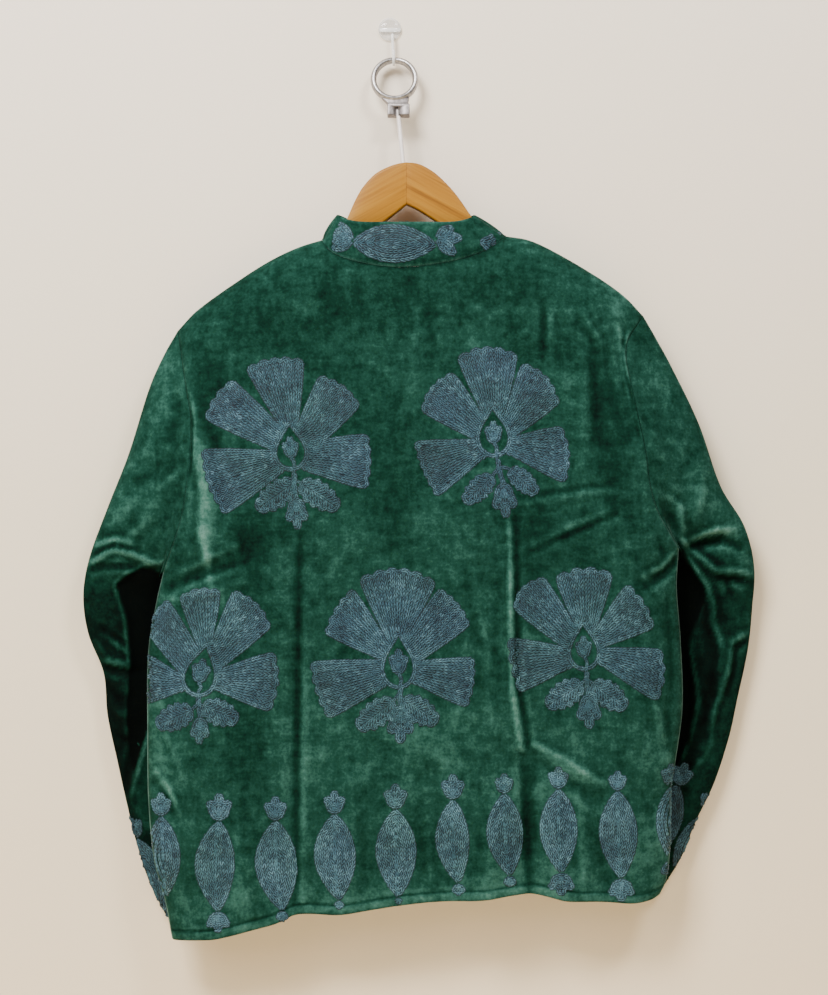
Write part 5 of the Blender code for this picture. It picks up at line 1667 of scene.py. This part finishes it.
def make_camera():
    data = bpy.data.cameras.new("camera")
    data.lens = LENS
    data.sensor_fit = "VERTICAL"
    data.sensor_height = 36.0
    data.sensor_width = 36.0
    data.clip_start, data.clip_end = 0.05, 30
    camera = bpy.data.objects.new("camera", data)
    camera.location = [c * MM for c in EYE]
    camera.rotation_euler = (math.pi / 2, 0, 0)
    bpy.context.scene.collection.objects.link(camera)
    bpy.context.scene.camera = camera


def stage_plane(name, corners, material):
    plane = linked(name, corners, [(0, 1, 2, 3)], smooth=False)
    plane.data.materials.append(material)


def area_light(name, place, target, size, power, colour):
    data = bpy.data.lights.new(name, "AREA")
    data.shape = "RECTANGLE"
    data.size, data.size_y = size
    data.energy = power
    data.color = colour
    light = bpy.data.objects.new(name, data)
    light.location = place
    light.rotation_euler = (Vector(target) - Vector(place)).to_track_quat("-Z", "Y").to_euler()
    bpy.context.scene.collection.objects.link(light)


def make_stage():
    plaster = wall_material()
    ends = ((-STAGE_HALF, STAGE_HALF), (STAGE_HALF, -STAGE_HALF))
    foot, top = [[(x, WALL_Y, z) for x in row] for row, z in zip(ends, (STAGE_LOW, STAGE_HIGH))]
    near = [(x, STAGE_NEAR, STAGE_LOW) for x in ends[0]]
    stage_plane("wall", foot + top, plaster)
    stage_plane("floor", near + foot[::-1], plaster)
    world = bpy.data.worlds.new("room")
    world.use_nodes = True
    sky = world.node_tree.nodes["Background"]
    sky.inputs["Color"].default_value = ROOM_COLOUR
    sky.inputs["Strength"].default_value = ROOM_STRENGTH
    bpy.context.scene.world = world
    for row in LIGHTS:
        area_light(*row)


def around(values):
    """Sum of the four neighbours of each inner place of a grid."""
    return values[:-2, 1:-1] + values[2:, 1:-1] + values[1:-1, :-2] + values[1:-1, 2:]


def painted_light_of_folds(raised):
    """Painted highlight on ridges and painted shade in troughs, from how the folds bend and how high they
    stand.
    """
    bend = np.zeros_like(raised)
    bend[1:-1, 1:-1] = raised[1:-1, 1:-1] - around(raised) / 4
    for _ in range(2):
        bend[1:-1, 1:-1] = (bend[1:-1, 1:-1] * 2 + around(bend)) / 6
    return np.clip(PAINTED_LIGHT_OF_BEND * bend + PAINTED_LIGHT_OF_HEIGHT * raised, *PAINTED_LIGHT_LIMITS)


def sleeve_shade(grid, way):
    """Painted shade on the sleeves: darker from the elbow down and darkest in their hollows, with their
    painted highlights and shade.
    """
    x, z = grid[..., 0], grid[..., 2]
    low = SLEEVE_PAINTED_SHADE[way] * ease((ELBOW_Z - z) / 50)
    # Painted shade of the hollows, half as strong close to the wall
    deep = hollow(x, z, PAINTED_LIGHTNESS) * np.where(grid[..., 1] < -8, 1.0, 0.5)
    return low + deep + fold_height(SLEEVE_PAINTED_LIGHT, x, z)


def dress(thing, painted_light, velvet, nodes):
    # The velvet's painted highlights and shade, one value per point
    store(thing, "painted_light", painted_light.ravel())
    thing.data.materials.append(velvet)
    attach(thing, "root")
    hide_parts(*nodes)


def make_back(back, columns, velvet, grounds):
    rows = spaced(ROW_TURNS, BACK_ROW_STEP)
    outer, raised = back.grid(columns, rows)
    inner = panel_inner(back, outer, columns, rows)
    piece = shell("back_cloth", outer, inner)
    # Painted highlight on the hem's turned edge and painted shade along its line of stitches
    up = outer[..., 2] - outer[:1, :, 2]
    groove = np.exp(-(((up - HEM_TURN) / HEM_LINE_HALF) ** 2))
    hem = HEM_PAINTED_HIGHLIGHT * (up < HEM_TURN - 1) - HEM_LINE_PAINTED_SHADE * groove
    # The back's painted highlights and shade, with the painted shadow under the collar
    painted_patches = fold_height(BACK_PAINTED_LIGHT, outer[..., 0], outer[..., 2])
    dress(piece, painted_light_of_folds(raised) + painted_patches + hem, velvet, ["back_panel"])
    grounds["back"] = Ground(outer)
    return outer, inner


def make_fronts(fronts, rows, velvet, grounds):
    """Both fronts. Gives back the outer and inner grid of each, and which columns end at the neck."""
    grids = {}
    for name, front in fronts.items():
        columns = spaced(FRONT_TURNS, FRONT_STEP)
        if name == "right":
            columns = 1 - columns[::-1]
        outer, raised = front.grid(columns, rows)
        inner = panel_inner(front, outer, columns, rows)
        piece = shell("front_%s_cloth" % name, outer, inner, flip=True)
        # Painted highlight on the ridges and painted shade in the troughs
        dress(piece, painted_light_of_folds(raised), velvet, ["front_" + name])
        from_side = columns if name == "left" else 1 - columns
        grids[name] = (outer, inner, np.flatnonzero(from_side > FRONT_NECK_FROM + TINY))
        grounds["front_" + name] = Ground(outer)
    return grids


def make_sleeves(back_grids, front_grids, rows, velvet, grounds):
    """Both sleeves, from the rows of the back and fronts that end at the armholes."""
    arm_rows = np.flatnonzero(rows >= UNDERARM_ROW - TINY)
    arm_shares = (rows[arm_rows] - UNDERARM_ROW) / (1 - UNDERARM_ROW)
    shares = np.concatenate([arm_shares, arm_shares[-2:0:-1]])
    sides = np.repeat([-1.0, 1.0], [len(arm_shares), len(arm_shares) - 2])
    for name, outline, column, way in (("left", LEFT_SLEEVE, 0, -1), ("right", RIGHT_SLEEVE, -1, 1)):
        rings = [armhole_ring(behind, ahead, arm_rows, column, way * ARMHOLE_SHIFT)
                 for behind, ahead in zip(back_grids, front_grids[name])]
        sections = np.hstack([outline, SLEEVE_SECTIONS])
        outer, inner, raised = sleeve_grids(sections, rings, shares, sides, RUMPLE_SEEDS["sleeve_" + name])
        piece = shell("sleeve_%s_cloth" % name, outer, inner, ring=True, flip=way > 0)
        # Painted highlight and shade of the folds, and the sleeves' painted shade
        dress(piece, painted_light_of_folds(raised) + sleeve_shade(outer, way), velvet, ["sleeve_" + name])
        grounds["sleeve_" + name] = Ground(outer, ring=True)


def make_collar(back_grids, front_grids, columns, velvet, grounds):
    at_neck = np.flatnonzero((columns >= NECK_FROM - TINY) & (columns <= NECK_TO + TINY))
    outer, inner = collar_grids(back_grids, front_grids, at_neck)
    piece = shell("collar_cloth", outer, inner)
    # Painted highlight and shade along the collar's edges
    collar_edge_shading = np.zeros(outer.shape[:2])
    collar_edge_shading[0], collar_edge_shading[1], collar_edge_shading[-1] = COLLAR_EDGE_SHADING
    dress(piece, collar_edge_shading, velvet, ["collar"])
    grounds["collar"] = Ground(outer)


def make_cloth(velvet):
    """The six pieces of cloth. Gives back their outer faces, for the embroidery."""
    back, fronts = make_panels()
    columns, rows = spaced(BACK_TURNS, BACK_STEP), spaced(ROW_TURNS, FRONT_ROW_STEP)
    grounds = {}
    back_grids = make_back(back, columns, velvet, grounds)
    front_grids = make_fronts(fronts, rows, velvet, grounds)
    coarse, _ = back.grid(columns, rows)
    coarse_grids = (coarse, panel_inner(back, coarse, columns, rows))
    make_sleeves(coarse_grids, front_grids, rows, velvet, grounds)
    make_collar(back_grids, front_grids, columns, velvet, grounds)
    return grounds


def turned(lay, x, z, angle):
    """Lays a motif's own (across, up) places, turned and moved to (x, z)."""
    c, n = math.cos(angle), math.sin(angle)
    return lambda a, b: lay(x + a * c - b * n, z + a * n + b * c)


def make_embroidery(grounds, thread):
    on_back = grounds["back"].seen
    for piece, names, paler in (("flowers_upper", ("upper_left", "upper_right"), -0.08),
                                ("flowers_lower", ("lower_left", "lower_middle", "lower_right"), 0.0)):
        stitches = Stitches(piece, paler)
        for name in names:
            sew_flower(stitches, name, on_back)
        stitches.make(thread)
    stitches = Stitches("almonds_hem", 0.15)
    for row in ALMONDS:
        sew_almond(stitches, row, on_back)
    stitches.make(thread)

    stitches = Stitches("almond_collar")
    on_collar = grounds["collar"].seen
    for row, (x, z, angle) in COLLAR_ALMONDS:
        sew_almond(stitches, row, turned(on_collar, x, z, angle), *COLLAR_THREAD, 0.72)
    for foot, tips in COLLAR_SPRIGS:
        for tip in tips:
            sew_filled(stitches, almond_loop(foot, tip, SPRIG_LEAF_HALF), on_collar, *SPRIG_THREAD)
    stitches.make(thread)

    for side, ((x, z, angle), almonds) in CUFFS.items():
        ground = grounds["sleeve_" + side]
        stitches = Stitches("almonds_cuff_" + side)
        for face in (ground.seen, ground.behind):
            for across, up, waist in almonds:
                row = ((across, up + waist), (across, up + CUFF_ALMOND_FOOT), *CUFF_ALMOND)
                sew_almond(stitches, row, turned(face, x, z, angle))
        stitches.make(thread)

    for side in ("left", "right"):
        behind = grounds["front_" + side].behind
        stitches = Stitches("flowers_front_" + side)
        for name, dx, dz in FRONT_FLOWERS:
            if name.endswith(side):
                sew_flower(stitches, name, turned(behind, dx, dz, 0.0), *FRONT_THREAD)
        for x in FRONT_ALMONDS:
            if (x < FRONT_X) == (side == "left"):
                low = float(np.interp(x, *FRONT_ALMOND_HEM))
                row = ((x, low + FRONT_ALMOND_RISE[0]), (x, low + FRONT_ALMOND_RISE[1]), *FRONT_ALMOND)
                sew_almond(stitches, row, behind, *FRONT_THREAD)
        stitches.make(thread)


def dressed(name, shape, material, nodes=()):
    """A piece made from a shape's points and faces, in place of the solids that it names."""
    thing = linked(name, *shape)
    thing.data.materials.append(material)
    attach(thing, "root")
    if nodes:
        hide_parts(*nodes)
    return thing


def loft(sections, closed=False):
    """Points and faces through a row of loops, capped at both ends unless closed."""
    sections = np.asarray(sections, float)
    count, round_it = sections.shape[:2]
    faces = grid_faces(count, round_it, True)
    last = (count - 1) * round_it
    if closed:
        faces += [[last + j, last + (j + 1) % round_it, (j + 1) % round_it, j] for j in range(round_it)]
    else:
        faces += [list(range(round_it))[::-1], [last + j for j in range(round_it)]]
    return sections.reshape(-1, 3), faces


def rod(path, radius, round_it):
    """A round rod along a line of points."""
    path = np.asarray(path, float)
    ahead = np.roll(path, -1, axis=0) - np.roll(path, 1, axis=0)
    ahead[0], ahead[-1] = path[1] - path[0], path[-1] - path[-2]
    ahead = unit(ahead)
    aside = unit(np.cross(ahead, (1.0, 0.0, 0.02)))
    over = np.cross(ahead, aside)
    turn = np.linspace(0, 2 * np.pi, round_it, endpoint=False)[None, :, None]
    return loft(path[:, None] + radius * (np.cos(turn) * aside[:, None] + np.sin(turn) * over[:, None]))


def softened(half_x, half_z, corner, count=5):
    """A rectangle with round corners, as (across, up) points."""
    points = []
    for quarter, (sx, sz) in enumerate(((1, 1), (-1, 1), (-1, -1), (1, -1))):
        for k in range(count):
            angle = math.pi / 2 * (quarter + k / (count - 1))
            points.append((sx * (half_x - corner) + corner * math.cos(angle),
                           sz * (half_z - corner) + corner * math.sin(angle)))
    return points


def under_shoulder(shoulder, x):
    """Top of the hanger's arm below a shoulder seam."""
    line = np.array(sorted(map(tuple, Path(shoulder)(np.linspace(0, 1, 61)))))
    i = int(np.clip(np.searchsorted(line[:, 0], x), 1, len(line) - 1))
    (ax, az), (bx, bz) = line[i - 1], line[i]
    slope = (bz - az) / (bx - ax)
    return az + slope * (x - ax) - HANGER_DROP * math.hypot(1, slope)


def make_hanger(wood):
    stations = []
    for arm, shoulder in ((LEFT_ARM, LEFT_SHOULDER), (RIGHT_ARM, RIGHT_SHOULDER)):
        for x, height, half in arm:
            top = under_shoulder(shoulder, x)
            stations.append((x, top, top - height, half))
    stations += [(x, top, low, HANGER_HALF) for x, top, low in HANGER_MIDDLE]
    stations = sorted(stations)
    split = [row[0] for row in stations].index(HANGER_JOINT_X)
    shares = np.linspace(0, 1, 90)
    smooth = np.vstack([Path(stations[: split + 1])(shares), Path(stations[split:])(shares)[1:]])
    sections = []
    for x, top, low, half in smooth:
        half = half - JOINT_GROOVE * math.exp(-(((x - HANGER_JOINT_X) / JOINT_HALF) ** 2))
        loop = softened(half, (top - low) / 2, min(HANGER_CORNER, half * 0.8, (top - low) / 3))
        sections.append([(x, SHOULDER_Y + y, (top + low) / 2 + z) for y, z in loop])
    dressed("hanger_body", loft(sections), wood, ["hanger"])


def lean(points, centre):
    """Tips points given as (x, out, up) from a centre the way the ring leans."""
    points = np.asarray(points, float)
    y = points[..., 1] * math.cos(RING_LEAN) + points[..., 2] * math.sin(RING_LEAN)
    z = points[..., 2] * math.cos(RING_LEAN) - points[..., 1] * math.sin(RING_LEAN)
    return np.stack([points[..., 0], y, z], axis=-1) + np.array(centre)


def make_ring(steel):
    across, along = RING_WIRE
    turn = np.linspace(0, 2 * np.pi, 96, endpoint=False)[:, None]
    round_it = np.linspace(0, 2 * np.pi, 20, endpoint=False)[None]
    reach = RING_RADIUS + across * np.cos(round_it) + 0 * turn
    narrow = 1 - RING_TOP_NARROWER * np.maximum(np.cos(turn), 0) ** 8
    ring = np.stack([reach * np.sin(turn), along * narrow * np.sin(round_it), reach * np.cos(turn)], axis=-1)
    dressed("ring_band", loft(lean(ring, RING_CENTRE), closed=True), steel, ["hanger_ring"])


def make_clamp(steel):
    """The flat block under the ring, with its slot cut out."""
    sections = []
    for up, aside, half_wide, half_deep in CLAMP_SECTIONS:
        loop = softened(half_wide, half_deep, min(0.9, half_deep * 0.6), 4)
        sections.append([(x + aside, y, up) for x, y in loop])
    clamp = dressed("clamp_block", loft(lean(sections, CLAMP_CENTRE)), steel, ["ring_clamp"])
    (left, right), (near, far) = SLOT_X, SLOT_Y
    box = [[(left, near, z), (right, near, z), (right, far, z), (left, far, z)] for z in SLOT_Z]
    cutter = linked("slot", *loft(lean(box, CLAMP_CENTRE)), smooth=False)
    cut = clamp.modifiers.new("slot", "BOOLEAN")
    cut.object, cut.operation, cut.solver = cutter, "DIFFERENCE", "EXACT"
    bpy.context.view_layer.update()
    shape = bpy.data.meshes.new_from_object(clamp.evaluated_get(bpy.context.evaluated_depsgraph_get()))
    clamp.modifiers.clear()
    clamp.data = shape
    bpy.data.objects.remove(cutter)


def make_pad(clear, thick_clear):
    """The round pad on the wall, the raised bar across it, and the prong that carries the ring."""
    angle = np.linspace(0, 2 * np.pi, 64, endpoint=False)
    disc = [[(r * math.cos(a), y, r * math.sin(a)) for a in angle] for r, y in PAD_PROFILE]
    dressed("pad_disc", loft(disc), clear, ["wall_pad"])
    middle_out, middle_up = BAR_MIDDLE
    bar = [[(x, middle_out - y, middle_up + z)
            for y, z in softened(BAR_HALF_DEEP * size, BAR_HALF_HIGH * size, BAR_CORNER * size, 4)]
           for x, size in PAD_BAR]
    dressed("pad_bar", loft(bar), thick_clear)
    prong = rod(Path(PRONG_PATH)(np.linspace(0, 1, 60)), PRONG_WIRE, 16)
    dressed("pad_prong", prong, thick_clear, ["wall_prong"])


def make_hardware():
    make_hanger(wood_material())
    make_ring(steel_material("plated_steel", STEEL_SHADES, 0.26))
    make_clamp(steel_material("worn_steel", WORN_SHADES, 0.42))
    middle = [(a + b) / 2 for a, b in zip(STEM_TOP, STEM_FOOT)]
    stem = rod(Path([STEM_TOP, middle, STEM_FOOT])(np.linspace(0, 1, 12)), STEM_RADIUS, 24)
    dressed("stem_rod", stem, enamel_material(), ["hanger_stem"])
    make_pad(clear_material("clear_plastic", 0.18, 1.0), clear_material("thick_clear_plastic", 0.7, 1.0))


def main():
    make_camera()
    make_stage()
    make_embroidery(make_cloth(velvet_material()), thread_material())
    make_hardware()


main()
